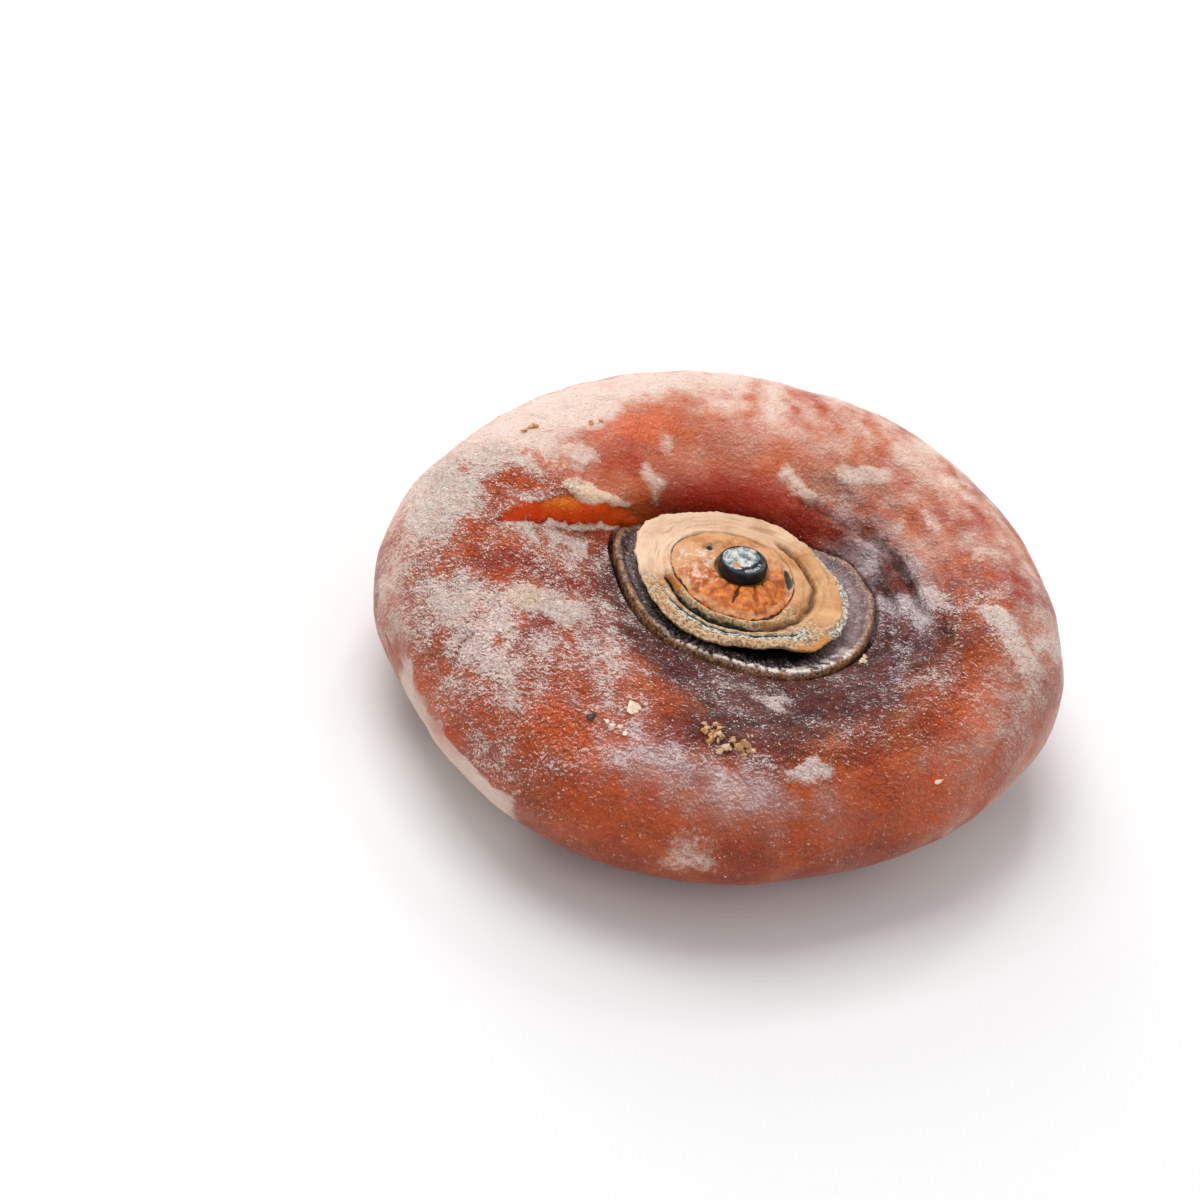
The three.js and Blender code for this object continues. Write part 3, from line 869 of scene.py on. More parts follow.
def flesh_finish():
    f = Finish("sugared_flesh")
    coarse = f.lumps(5, 4, 0.6)
    medium = f.lumps(1.6, 5, 0.65, shift=0.3)
    small = f.lumps(0.6, 4, 0.65, shift=0.7)
    step_back = (0.15, 0.15 + BEAD_SHIFT * MM, 0.15 + 0.5 * BEAD_SHIFT * MM)
    beads = f.lumps(BEAD, 3, 0.6, BEAD_STRETCH, (0.15, 0.15, 0.15), BEAD_TWIST)
    beyond = f.lumps(BEAD, 3, 0.6, BEAD_STRETCH, step_back, BEAD_TWIST)
    winding = f.step(f.math("ABSOLUTE", f.add(f.lumps(0.7, 2, 0.5, shift=0.55, twist=0.8), -0.5)), 0.07, 0.0)
    tiny = f.lumps(0.24, 2, 0.6, shift=0.35)
    slopes = f.add(f.times(f.add(beads, f.times(beyond, -1.0)), 0.85), f.times(f.add(winding, -0.4), 0.1))
    slopes = f.add(slopes, f.sway(tiny, 0.12))
    folded = f.math("ABSOLUTE", f.add(f.lumps(1.5, 3, 0.55, shift=0.45), -0.5))
    wrinkles = f.step(folded, 0.0, 0.09)
    grain = f.field("grain")
    crisp = f.field("crisp")

    flesh = f.blend((0.34, 0.031, 0.002), (0.54, 0.090, 0.003), f.step(coarse, 0.38, 0.62))
    flesh = f.layered(
        flesh,
        # Painted shade on the near side, away from the light
        ((0.24, 0.030, 0.001), f.times(f.field("near_side_shade"), 0.45)),
        ((0.62, 0.130, 0.030), f.times(f.field("beyond"), 0.5)),
        ((0.66, 0.085, 0.003), f.broken("warm", medium, 0.3, 0.6, 0.4, 0.9)),
        ((0.80, 0.110, 0.002), f.broken("orange", medium, 0.2, 0.5, 0.5, 1.0)),
        ((0.16, 0.010, 0.003), f.step(small, 0.55, 0.7, 0.0, 0.55)),
    )
    dark = f.blend((0.16, 0.022, 0.014), (0.060, 0.013, 0.014), f.step(medium, 0.35, 0.6))
    maroon = f.step(f.add(f.field("maroon"), f.sway(medium, 0.6)), 0.0, 1.0, 0.0, 0.95)
    flesh = f.layered(
        flesh,
        (dark, maroon),
        ((0.40, 0.014, 0.002), f.broken("red", medium, 0.25, 0.5, 0.5, 0.95)),
        # Partly painted light: the lip's bright orange is its flesh and the light through it; the glow band
        # is painted light
        ((0.97, 0.085, 0.001), f.field("lip")),
        ((0.98, 0.27, 0.010), f.field("glow")),
    )
    # Painted shade: the side of each bead that slopes the other way from the frost is darkened, as if in
    # shade
    bead_shade = f.times(f.step(slopes, 0.0, -0.08), f.add(0.2, f.times(grain, 0.7)))
    bead_shade = f.times(bead_shade, f.add(1.0, f.times(f.field("lip"), -1.0)))
    flesh = f.blend(flesh, (0.070, 0.007, 0.004), f.times(bead_shade, 0.6))

    ragged = f.step(crisp, 0.3, 0.6, 0.45, 1.0)
    cover = f.add(f.math("MAXIMUM", f.field("sugar"), f.field("cream")), f.times(f.sway(small, 0.9), ragged))
    cover = f.add(f.math("MAXIMUM", cover, f.field("ridge")), f.times(f.sway(medium, 0.6), ragged))
    edges = f.step(cover, 0.15, 0.9, 0.0, 0.9)
    share = f.math("MAXIMUM", f.broken("frost_and_sheen", medium, 0.3, 0.7, 0.5, 1.5), edges)
    thin = f.math("MAXIMUM", f.broken("frost_and_sheen", coarse, 0.3, 0.7, 0.8, 1.2), edges)
    # Frost and painted highlight: where crisp, the whitish film lies on the beads' lit side, opposite
    # bead_shade
    frost_and_sheen = f.frost_and_sheen(slopes, tiny, share, thin, crisp)
    film = f.blend((0.78, 0.56, 0.46), (0.72, 0.57, 0.57), maroon)
    film = f.layered(
        film,
        ((0.98, 0.84, 0.77), f.times(crisp, grain)),
        # Painted sheen: a lilac tint over the frost where lilac_sheen is
        ((0.84, 0.70, 0.71), f.field("lilac_sheen")),
    )
    flesh = f.blend(flesh, film, f.times(frost_and_sheen, 0.94))

    white = f.blend((0.82, 0.71, 0.64), (0.74, 0.55, 0.47), f.step(medium, 0.35, 0.65))
    white = f.layered(
        white,
        ((0.81, 0.62, 0.53), f.add(0.8, f.times(crisp, -1.0))),
        ((0.84, 0.62, 0.42), f.field("cream")),
        ((0.88, 0.66, 0.54), f.field("ridge")),
    )
    powder = f.times(f.step(cover, 0.35, 1.05, 0.0, 0.88), f.step(f.add(beads, tiny), 0.8, 1.0, 0.5, 1.0))
    flesh = f.blend(flesh, white, powder)

    height = f.add(f.times(wrinkles, f.add(0.05, f.times(grain, 0.45))), f.times(small, 0.4))
    height = f.add(height, f.times(beads, f.add(0.5, f.times(grain, 1.8))))
    height = f.add(height, f.times(tiny, f.times(grain, 0.5)))
    height = f.add(height, f.times(winding, f.times(grain, 0.35)))
    f.bump(height, 0.34, 1.0)
    rough = f.add(0.30, f.times(powder, 0.36), f.times(frost_and_sheen, 0.2), f.times(grain, -0.14))
    return f.surface(
        Base_Color=flesh,
        Roughness=rough,
        IOR=1.45,
        Specular_IOR_Level=0.34,
        Subsurface_Weight=0.12,
        Subsurface_Radius=(1.0, 0.25, 0.1),
        Subsurface_Scale=1.5 * MM,
    )


def collar_rings(angle):
    """Rings round the collar's section: over the top from the inner edge outwards, and back underneath."""
    shown = 1 - arc_window(angle, COLLAR_HIDDEN_MIDDLE, COLLAR_HIDDEN_HALF, 17)
    outer = periodic(HOLLOW, angle) - GAP
    lift = (COLLAR_LIP - COLLAR_TOP) * shown
    profile = [
        (2.4, 0, 0), (1.9, -0.06, 0), (1.5, -0.05, 0.05), (1.2, 0, 0.25), (0.95, 0, 0.62), (0.7, 0, 0.9),
        (0.45, 0, 1), (0.22, -0.05, 0.97), (0.07, -0.16, 0.85), (0, -0.35, 0.7),
    ]
    inset, base, share = (np.array(column) for column in zip(*profile))
    places = np.linspace(0, len(profile) - 1, COLLAR_TOP_RINGS)
    rings = [(COLLAR_INNER, GAP), (COLLAR_INNER, COLLAR_TOP - COLLAR_SAG)]
    for t in (0.3, 0.6, 0.85):
        rings.append((mix(COLLAR_INNER, outer - inset[0], t), COLLAR_TOP - COLLAR_SAG * (1 - t)))
    for place in places:
        i, z, s = (np.interp(place, range(len(profile)), column) for column in (inset, base, share))
        rings.append((outer - i, COLLAR_TOP + z + lift * s))
    rings.append((outer, GAP + 0.5))
    rings.append((outer, GAP))
    return rings


def make_collar():
    angle = np.arange(COLLAR_AROUND) * 360 / COLLAR_AROUND
    rings = collar_rings(angle)
    radius = np.stack([r + 0 * angle for r, _ in rings])
    z = np.stack([h + 0 * angle for _, h in rings])
    outer = periodic(HOLLOW, angle) - GAP
    inset = outer - radius
    lumps = noise_on(polar(radius, angle, z), 2.6, 101, 3)
    around = np.broadcast_to(np.radians(angle) * 12, z.shape)
    ribs = noise_on(np.stack([around / 0.55, radius / 2.2, 0 * z], axis=2), 1, 111, 2)
    free = span_window(inset, 0.12, 4.5, 0.3) * (z > COLLAR_TOP - 0.3)
    near = arc_window(angle, 290, 50, 30)
    z = z + free * (0.26 * lumps + (0.11 + 0.14 * near) * ribs)
    second = arc_window(angle, 205, 30, 12)
    z = z - free * second * 0.35 * bell((inset - 1.25) / 0.22)
    grid = fit_to(polar(radius + free * 0.16 * lumps, angle, z), "peel_collar")
    fields = {
        "lip": smooth((1.05 - inset) / 0.8),
        "rib": np.clip(0.5 + 0.5 * ribs, 0, 1),
        "shine": arc_window(angle, 286, 38, 22) * span_window(inset, 0.35, 1.6, 0.3),
        # Painted shade: near black on the inner part of the collar on the left and near side, under the
        # calyx's plate
        "under_plate_shade": arc_window(angle, 236, 76, 22) * smooth((inset - 2.2 + 0.5 * lumps) / 0.5),
        "bright": arc_window(angle, 20, 50, 20) * span_window(inset, 0.1, 3.0, 0.4),
    }
    return ring_mesh("collar_peel", grid, angle, fields)


def collar_finish():
    f = Finish("dried_peel")
    medium = f.lumps(1.5, 5, 0.65)
    small = f.lumps(0.4, 4, 0.7, shift=0.4)
    tiny = f.lumps(0.22, 3, 0.7, shift=0.8)
    skin = f.blend((0.030, 0.016, 0.016), (0.11, 0.055, 0.05), f.step(medium, 0.36, 0.64))
    skin = f.blend(skin, (0.26, 0.15, 0.15), f.broken("bright", medium, 0.25, 0.6, 0.3, 0.95))
    brown = f.blend((0.08, 0.025, 0.008), (0.42, 0.18, 0.05), f.step(small, 0.35, 0.62))
    skin = f.blend(skin, brown, f.broken("lip", medium, 0.3, 0.55, 0.4, 0.95))
    glints = f.step(f.add(tiny, f.sway(f.field("rib"), 0.15)), 0.54, 0.62)
    skin = f.blend(skin, (0.66, 0.60, 0.58), f.times(glints, f.step(small, 0.4, 0.6, 0.2, 0.85)))
    # Painted sheen: whitish streaks on the ribs of the near side stand in for their highlights
    frost_and_sheen = f.times(f.field("shine"), f.step(f.add(f.field("rib"), f.sway(small, 0.9)), 0.38, 0.56))
    skin = f.layered(
        skin,
        ((0.86, 0.78, 0.72), f.times(frost_and_sheen, 0.9)),
        # Painted shade under the calyx's plate
        ((0.004, 0.003, 0.004), f.field("under_plate_shade")),
    )
    f.bump(f.add(f.times(small, 0.7), f.times(tiny, 0.6)), 0.16, 0.9)
    rough = f.add(0.18, f.times(medium, 0.2), f.times(glints, 0.2))
    return f.surface(Base_Color=skin, Roughness=rough, IOR=1.5)


# The calyx's top: shares of the way out from the receptacle, and heights above CALYX_TOP
CALYX_PROFILE = [
    (0, -0.5), (0.04, -0.32), (0.1, -0.22), (0.16, -0.27), (0.24, -0.55), (0.32, -0.66), (0.45, -0.52),
    (0.6, -0.3), (0.75, -0.09), (0.86, 0), (0.95, -0.02), (0.985, -0.08), (1, -0.2),
]
# The side of the calyx that is rough and grooved: its middle, half width and fade in degrees
CALYX_NEAR = (262, 58, 26)


def calyx_top(share, angle, points):
    """How high the calyx's top lies, and the fields of its finish."""
    near = arc_window(angle, *CALYX_NEAR)
    grooved = arc_window(angle, 248, 44, 22)
    wobble = noise_on(points, 3, 201, 2)
    crust = noise_on(points, 0.8, 211, 3)
    lumps = noise_on(points, 2, 221, 2)
    s = share + 0.05 * wobble + 0.012 * crust
    keys, heights = zip(*CALYX_PROFILE)
    z = CALYX_TOP + np.interp(s, keys, heights)
    groove = bell((s - 0.25) / (0.04 + 0.03 * arc_window(angle, 256, 14, 22))) * (1 + 0.5 * crust)
    second = bell((s - 0.50) / 0.035) * arc_window(angle, 268, 42, 16)
    lips = bell((s - 0.12) / 0.05) + 0.8 * bell((s - 0.41) / 0.045)
    z += near * (0.16 * lips - 0.3 * second) - 0.75 * grooved * groove
    z += 0.12 * crust * near * span_window(s, 0.5, 1.0, 0.06) + 0.07 * lumps
    width = periodic(CALYX_OUTLINE, angle) - periodic(RECEPTACLE_OUTLINE, angle)
    lines = noise_on(polar(2.2, angle, s * width / 0.42 + 9), 1, 225, 2)
    z += 0.05 * lines * (1 - near) * span_window(s, 0.08, 0.85, 0.05)
    ledge = arc_window(angle, 8, 34, 6) * smooth((s - 0.85 + 0.03 * crust) / 0.03)
    fold_at = 0.34 + 0.002 * turn_between(angle, 0) - 0.04 * lumps
    fold = arc_window(angle, 2, 54, 14) * bell((s - fold_at) / 0.05)
    z -= 0.32 * ledge + 0.5 * fold
    fields = {
        "near": near,
        "groove": np.clip(grooved * groove + near * second, 0, 1),
        "fold": fold,
        "rope": near * lips * (1 - np.clip(groove, 0, 1)),
        "crust": near * span_window(s, 0.48, 0.66, 0.05) * arc_window(angle, 272, 44, 14),
        "ledge": ledge,
        "lines": 0.5 + 0.5 * lines * (1 - near) * span_window(s, 0.05, 0.8, 0.05),
        "pale": np.maximum(arc_window(angle, 165, 45, 30), 0.75 * arc_window(angle, 95, 30, 25)),
        "chip": arc_window(angle, 318, 9, 4) * smooth((s - 0.84) / 0.05),
    }
    return z, fields


def make_calyx():
    angle = np.arange(CALYX_AROUND) * 360 / CALYX_AROUND
    inner = periodic(RECEPTACLE_OUTLINE, angle) - GAP
    outline = periodic(CALYX_OUTLINE, angle)
    rim = polar(outline, angle, 0)
    ragged = 0.2 * rough_noise(rim, 1.6, 231, 3) + 0.12 * noise(rim, 0.5, 241)
    outline = outline + ragged

    share = np.linspace(0.02, 1, CALYX_TOP_RINGS)
    flat = np.stack([polar(mix(inner, outline, s), angle, 0, RECEPTACLE_CENTRE * (1 - s)) for s in share])
    top, fields = calyx_top(np.repeat(share[:, None], CALYX_AROUND, axis=1), angle, flat)

    dish = [(0.5, DISH_FLOOR), (0.97, DISH_FLOOR), (1.0, DISH_FLOOR + 0.4), (1.0, DISH_FLOOR + 1.1)]
    rows = []
    for out, z in dish:
        rows.append(polar(inner * out, angle, z, RECEPTACLE_CENTRE))
    rows += list(np.concatenate([flat[:, :, :2], top[:, :, None]], axis=2))
    wall = rough_noise(rim, 0.9, 251, 2)
    for t in np.linspace(0.2, 1, CALYX_WALL_RINGS):
        r = outline - CALYX_UNDERCUT * t**1.5 + 0.08 * wall * np.sin(np.pi * t)
        z = mix(top[-1], CALYX_TOP - CALYX_EDGE, t)
        rows.append(polar(r, angle, z))
    for t in np.linspace(0.12, 1, CALYX_UNDER_RINGS):
        r = mix(outline - CALYX_UNDERCUT, CALYX_FOOT + 0.4, t)
        z = mix(CALYX_TOP - CALYX_EDGE, COLLAR_TOP + GAP, t**0.8)
        rows.append(polar(r, angle, z))
    for r in (CALYX_FOOT, CALYX_FOOT * 0.5):
        rows.append(polar(r, angle, GAP))
    grid = np.stack(rows)
    before = len(dish)
    after = len(rows) - before - len(flat)
    full = {}
    for name, values in fields.items():
        values = np.broadcast_to(values, top.shape)
        full[name] = np.pad(values, ((before, after), (0, 0)), "edge")
    # Painted shade: the dish and the underside get under, which paints them near black, more so farther in
    shade = np.linspace(0.3, 1, after)
    under = np.concatenate([np.ones(before), np.zeros(len(flat)), shade])
    full["under"] = np.repeat(under[:, None], CALYX_AROUND, axis=1)
    return closed_mesh("calyx_plate", fit_to(grid, "calyx"), angle, before + len(flat) + 2, full)


def calyx_finish():
    f = Finish("calyx_bark")
    coarse = f.lumps(3, 4, 0.6)
    medium = f.lumps(1.0, 5, 0.7, shift=0.5)
    small = f.lumps(0.35, 4, 0.7, shift=0.2)
    tiny = f.lumps(0.16, 3, 0.7, shift=0.9)
    near = f.field("near")
    tan = f.blend((0.52, 0.23, 0.080), (0.66, 0.37, 0.17), f.step(coarse, 0.35, 0.65))
    wood = f.blend(tan, (0.82, 0.58, 0.40), f.broken("pale", coarse, 0.2, 0.6, 0.5, 1.0))
    wood = f.blend(wood, (0.34, 0.15, 0.05), f.times(f.step(f.field("lines"), 0.42, 0.12), 0.5))
    grainy = f.blend((0.16, 0.085, 0.04), (0.66, 0.46, 0.27), f.step(small, 0.38, 0.60))
    wood = f.layered(
        wood,
        (grainy, f.times(near, 0.9)),
        ((0.78, 0.54, 0.30), f.broken("rope", small, 0.3, 0.6, 0.1, 0.7)),
    )
    spot = f.times(near, f.step(f.add(coarse, f.sway(medium, 0.4)), 0.54, 0.62))
    wood = f.layered(
        wood,
        ((0.52, 0.17, 0.02), f.times(spot, 0.85)),
        ((0.56, 0.23, 0.04), f.broken("chip", small, 0.3, 0.5, 0.3, 0.95)),
    )
    grey = f.blend((0.10, 0.11, 0.09), (0.72, 0.70, 0.62), f.step(small, 0.42, 0.58))
    wood = f.layered(
        wood,
        (grey, f.times(f.math("MAXIMUM", f.field("crust"), f.field("ledge")), 0.85)),
        # Painted shade: a soft brown line along the fold on the right, and a near black middle where shade
        # lies in it
        ((0.34, 0.16, 0.06), f.step(f.field("fold"), 0.05, 0.6, 0.0, 0.7)),
    )
    fold = f.broken("fold", medium, 0.3, 0.55, 0.55, 1.0)
    wood = f.blend(wood, (0.10, 0.045, 0.02), f.step(fold, 0.55, 0.9, 0.0, 0.85))
    # Painted shade: the grooves are painted a greenish near black, as shade deep down in them
    cut = f.add(f.field("groove"), f.sway(medium, 0.9), f.sway(small, 0.5))
    groove_shade = f.blend((0.006, 0.012, 0.009), (0.05, 0.085, 0.07), f.step(small, 0.5, 0.62))
    wood = f.blend(wood, groove_shade, f.step(cut, 0.3, 0.55, 0.0, 0.97))
    pores = f.times(f.step(tiny, 0.42, 0.34), f.step(near, 0.0, 0.5, 0.3, 0.9))
    wood = f.layered(
        wood,
        ((0.07, 0.035, 0.016), pores),
        # Painted shade on the dish and on the underside, which the plate hides from the light
        (GAP_SHADE, f.step(f.field("under"), 0.25, 0.6, 0.0, 0.95)),
    )
    height = f.add(f.times(medium, 0.5), f.times(small, f.add(0.4, f.times(near, 0.5))), f.times(tiny, 0.3))
    f.bump(height, 0.16, 0.9)
    rough = f.add(0.66, f.times(f.field("groove"), -0.4), f.times(medium, 0.1))
    return f.surface(Base_Color=wood, Roughness=rough, IOR=1.45)


# Bearing, depth, width in degrees and where they end, as a share of the way out
CORE_CREASES = [
    (272, 1, 2.4, 0.62), (250, 0.45, 3, 0.85), (226, 0.5, 4, 0.9), (204, 0.35, 4, 0.7), (299, 0.6, 3, 0.9),
    (322, 0.55, 3.5, 0.8), (182, 0.4, 4, 0.9), (345, 0.5, 4, 0.9), (120, 0.35, 5, 0.9), (70, 0.4, 5, 0.8),
]


def make_receptacle():
    angle = np.arange(CORE_AROUND) * 360 / CORE_AROUND
    socket = STEM_RADIUS + GAP
    outline = periodic(RECEPTACLE_OUTLINE, angle)
    start = polar(socket + 0.02, angle, 0, STEM_CENTRE)
    end = polar(outline, angle, 0, RECEPTACLE_CENTRE)
    share = np.linspace(0, 1, CORE_TOP_RINGS)
    flat = mix(start, end, share[:, None, None])
    s = np.repeat(share[:, None], CORE_AROUND, axis=1)
    lumps = noise_on(flat, 2.2, 301, 3)
    small = noise_on(flat, 0.7, 311, 2)
    crease = np.zeros_like(s)
    for bearing, depth, width, end_share in CORE_CREASES:
        off = turn_between(angle, bearing) + 6 * lumps + 3 * small
        crease = np.maximum(crease, depth * bell(off / width) * span_window(s, 0.02, end_share - 0.12, 0.12))
    rim = RECEPTACLE_TOP - 0.95 * smooth((s - 0.25) / 0.75) ** 1.6
    z = rim - 0.5 * crease + 0.3 * lumps * smooth(s / 0.2) + 0.07 * small
    pit = bell(np.hypot(turn_between(angle, 8) / 20, (s - 0.72) / 0.2) ** 2)
    hole = bell(np.hypot((turn_between(angle, 140) + 9 * small) / 9, (s - 0.3 + 0.1 * lumps) / 0.1) ** 2)
    z -= 0.5 * pit + 0.6 * hole
    pit = np.maximum(pit, hole)
    z = z - 0.5 * smooth((s - 0.9) / 0.1)
    rows = [polar(r, angle, RECEPTACLE_TOP - SOCKET_DEPTH, STEM_CENTRE) for r in (0.5 * socket, socket)]
    rows += list(np.concatenate([flat[:, :, :2], z[:, :, None]], axis=2))
    rows += [polar(outline, angle, RECEPTACLE_TOP - drop, RECEPTACLE_CENTRE) for drop in (1.6, 2.0)]
    for shrink in (1.0, 0.5):
        rows.append(polar((outline - 0.2) * shrink, angle, DISH_FLOOR + GAP, RECEPTACLE_CENTRE))
    near = np.broadcast_to(arc_window(angle, 285, 75, 35), s.shape)
    pale = np.broadcast_to(arc_window(angle, 190, 28, 20), s.shape) * span_window(s, 0.05, 0.7, 0.2)
    # pit, crease and edge also say where painted shade goes: in the holes, in the creases and at the outer
    # edge
    fields = {
        "crease": crease,
        "near": near,
        "pit": pit,
        "pale": pale,
        "rim": span_window(s, 0.76, 0.84, 0.06),
        "edge": smooth((s - 0.84 + 0.05 * small) / 0.12),
    }
    full = {name: np.pad(values, ((2, 4), (0, 0))) for name, values in fields.items()}
    grid = fit_to(np.stack(rows), "receptacle")
    return closed_mesh("receptacle_disc", grid, angle, 2 + CORE_TOP_RINGS, full)


def receptacle_finish():
    f = Finish("receptacle_bark")
    coarse = f.lumps(2.6, 4, 0.6)
    medium = f.lumps(0.9, 5, 0.7, shift=0.3)
    small = f.lumps(0.3, 4, 0.7, shift=0.6)
    bark = f.blend((0.48, 0.17, 0.04), (0.66, 0.33, 0.14), f.step(coarse, 0.38, 0.62))
    warm = f.blend((0.40, 0.066, 0.003), (0.74, 0.22, 0.014), f.step(medium, 0.36, 0.64))
    bark = f.blend(bark, warm, f.broken("near", coarse, 0.2, 0.5, 0.7, 1.0))
    white = f.broken("pale", medium, 0.50, 0.60)
    bark = f.layered(
        bark,
        ((0.78, 0.64, 0.56), f.times(white, 0.8)),
        ((0.62, 0.38, 0.20), f.broken("rim", medium, 0.35, 0.6, 0.1, 0.6)),
    )
    tissue = f.times(f.field("pit"), f.step(f.add(f.field("pit"), f.sway(small, 1.5)), 0.85, 0.6))
    # Painted shade: near black in the holes' middles, in the creases and along the outer edge beside the
    # calyx
    bark = f.layered(
        bark,
        ((0.66, 0.62, 0.52), f.times(tissue, 0.7)),
        ((0.014, 0.018, 0.014), f.step(f.field("pit"), 0.45, 0.8, 0.0, 0.96)),
        ((0.03, 0.012, 0.006), f.step(f.field("crease"), 0.3, 0.8, 0.0, 0.92)),
        (GAP_SHADE, f.step(f.add(f.field("edge"), f.sway(medium, 0.8)), 0.5, 0.8)),
    )
    pores = f.times(f.step(small, 0.40, 0.33), 0.7)
    bark = f.blend(bark, (0.12, 0.035, 0.010), pores)
    f.bump(f.add(f.times(medium, 0.6), f.times(small, 0.5)), 0.16, 0.9)
    return f.surface(Base_Color=bark, Roughness=f.add(0.36, f.times(medium, 0.3)), IOR=1.48)


def make_stem():
    angle = np.arange(STEM_AROUND) * 360 / STEM_AROUND
    profile = [
        (0.12, -0.06), (0.25, -0.04), (0.38, -0.03), (0.5, -0.04), (0.62, -0.08), (0.7, -0.14), (0.76, -0.16),
        (0.82, -0.08), (0.87, -0.02), (0.91, -0.04), (0.95, -0.14), (0.98, -0.3), (1, -0.5), (1, -0.8),
        (0.99, -1.1),
    ]
    keys = np.arange(len(profile))
    out, drop = (np.interp(np.linspace(0, len(profile) - 1, STEM_RINGS), keys, c) for c in zip(*profile))
    r = STEM_RADIUS * np.repeat(out[:, None], STEM_AROUND, axis=1)
    z = STEM_TOP + np.repeat(drop[:, None], STEM_AROUND, axis=1)
    places = polar(r, angle, z)
    lumps = noise_on(places, 1.1, 401, 2)
    bark = noise_on(places, 0.5, 411, 2)
    wander = 0.14 * arc_window(angle, 130, 60, 60) - 0.16 * arc_window(angle, 320, 40, 40)
    inside = 1 - smooth((r / STEM_RADIUS - 0.66 - wander) / 0.12)
    z += 0.2 * lumps * inside + 0.03 * bark
    r = r * (1 + 0.025 * lumps * (1 - inside))
    foot = RECEPTACLE_TOP - SOCKET_DEPTH + GAP
    rows = list(polar(r, angle, z, STEM_CENTRE))
    rows += [polar(share * STEM_RADIUS, angle, foot, STEM_CENTRE) for share in (0.98, 0.5)]
    share = r / STEM_RADIUS
    fields = {
        "pith": inside * (1 - 0.9 * arc_window(angle, 300, 45, 25) * bell((share - 0.5) / 0.07)),
        "bead": bell(np.hypot(r * cosine(angle) + 0.6, r * sine(angle) + 0.95) / 0.42),
        "crescent": arc_window(angle, 318, 34, 14) * bell((share - 0.66) / 0.08),
    }
    fields = {name: np.pad(values, ((0, 2), (0, 0))) for name, values in fields.items()}
    return closed_mesh("stem_end", fit_to(np.stack(rows), "stem_stub"), angle, STEM_RINGS - 4, fields)


def stem_finish():
    f = Finish("stem_bark")
    medium = f.lumps(0.9, 4, 0.65)
    small = f.lumps(0.3, 4, 0.7, shift=0.5)
    bark = f.blend((0.004, 0.006, 0.008), (0.020, 0.022, 0.024), f.step(medium, 0.4, 0.62))
    pale = f.step(f.add(medium, f.sway(small, 0.4)), 0.38, 0.60)
    pith = f.blend((0.08, 0.13, 0.16), (0.62, 0.62, 0.58), pale)
    skin = f.blend(bark, pith, f.step(f.add(f.field("pith"), f.sway(medium, 1.2)), 0.4, 0.7))
    glint = f.times(f.step(f.field("crescent"), 0.3, 0.7), f.step(small, 0.4, 0.6, 0.1, 0.8))
    skin = f.layered(
        skin,
        ((0.50, 0.55, 0.56), glint),
        ((0.55, 0.24, 0.05), f.step(f.field("bead"), 0.3, 0.55)),
    )
    f.bump(f.add(f.times(medium, 0.6), f.times(small, 0.5)), 0.12, 0.8)
    rough = f.add(0.2, f.times(small, 0.3))
    return f.surface(Base_Color=skin, Roughness=rough, IOR=1.45, Specular_IOR_Level=0.25)


def turned_frame(up, chance):
    """Three directions at right angles, the last one up and the others turned by chance."""
    side = np.cross(up, chance.normal(size=3))
    side /= np.linalg.norm(side)
    return np.stack([side, np.cross(up, side), up])


def crumb(centre, up, size, stretch, chance):
    """Points and faces of a small crystal: a crooked brick that lies on the surface."""
    axes = turned_frame(up, chance)
    corners = np.array(list(itertools.product((-1, 1), repeat=3))) * chance.uniform(CRYSTAL_SHRINK, 1, (8, 3))
    half = 0.5 * size * np.array(stretch)
    points = centre + (corners * half + [0, 0, 0.4 * half[2]]) @ axes
    return points, [(0, 1, 3, 2), (4, 6, 7, 5), (0, 4, 5, 1), (2, 3, 7, 6), (0, 2, 6, 4), (1, 5, 7, 3)]


def chip(centre, up, size, stretch, chance):
    """Points and faces of a broken chip: the hull of points scattered in a flat lump."""
    axes = turned_frame(up, chance)
    places = chance.normal(size=(CHIP_POINTS, 3))
    places /= np.linalg.norm(places, axis=1)[:, None]
    places *= chance.uniform(0.6, 1.0, CHIP_POINTS)[:, None] * 0.5 * size * np.array(stretch)
    hull = bmesh.new()
    for place in centre + (places + [0, 0, 0.1 * size * stretch[2]]) @ axes:
        hull.verts.new(place)
    found = bmesh.ops.convex_hull(hull, input=hull.verts)
    loose = [v for v in found["geom_interior"] + found["geom_unused"] if isinstance(v, bmesh.types.BMVert)]
    bmesh.ops.delete(hull, geom=list(set(loose)), context="VERTS")
    hull.verts.index_update()
    points = np.array([v.co[:] for v in hull.verts])
    faces = [tuple(v.index for v in face.verts) for face in hull.faces]
    hull.free()
    return points, faces


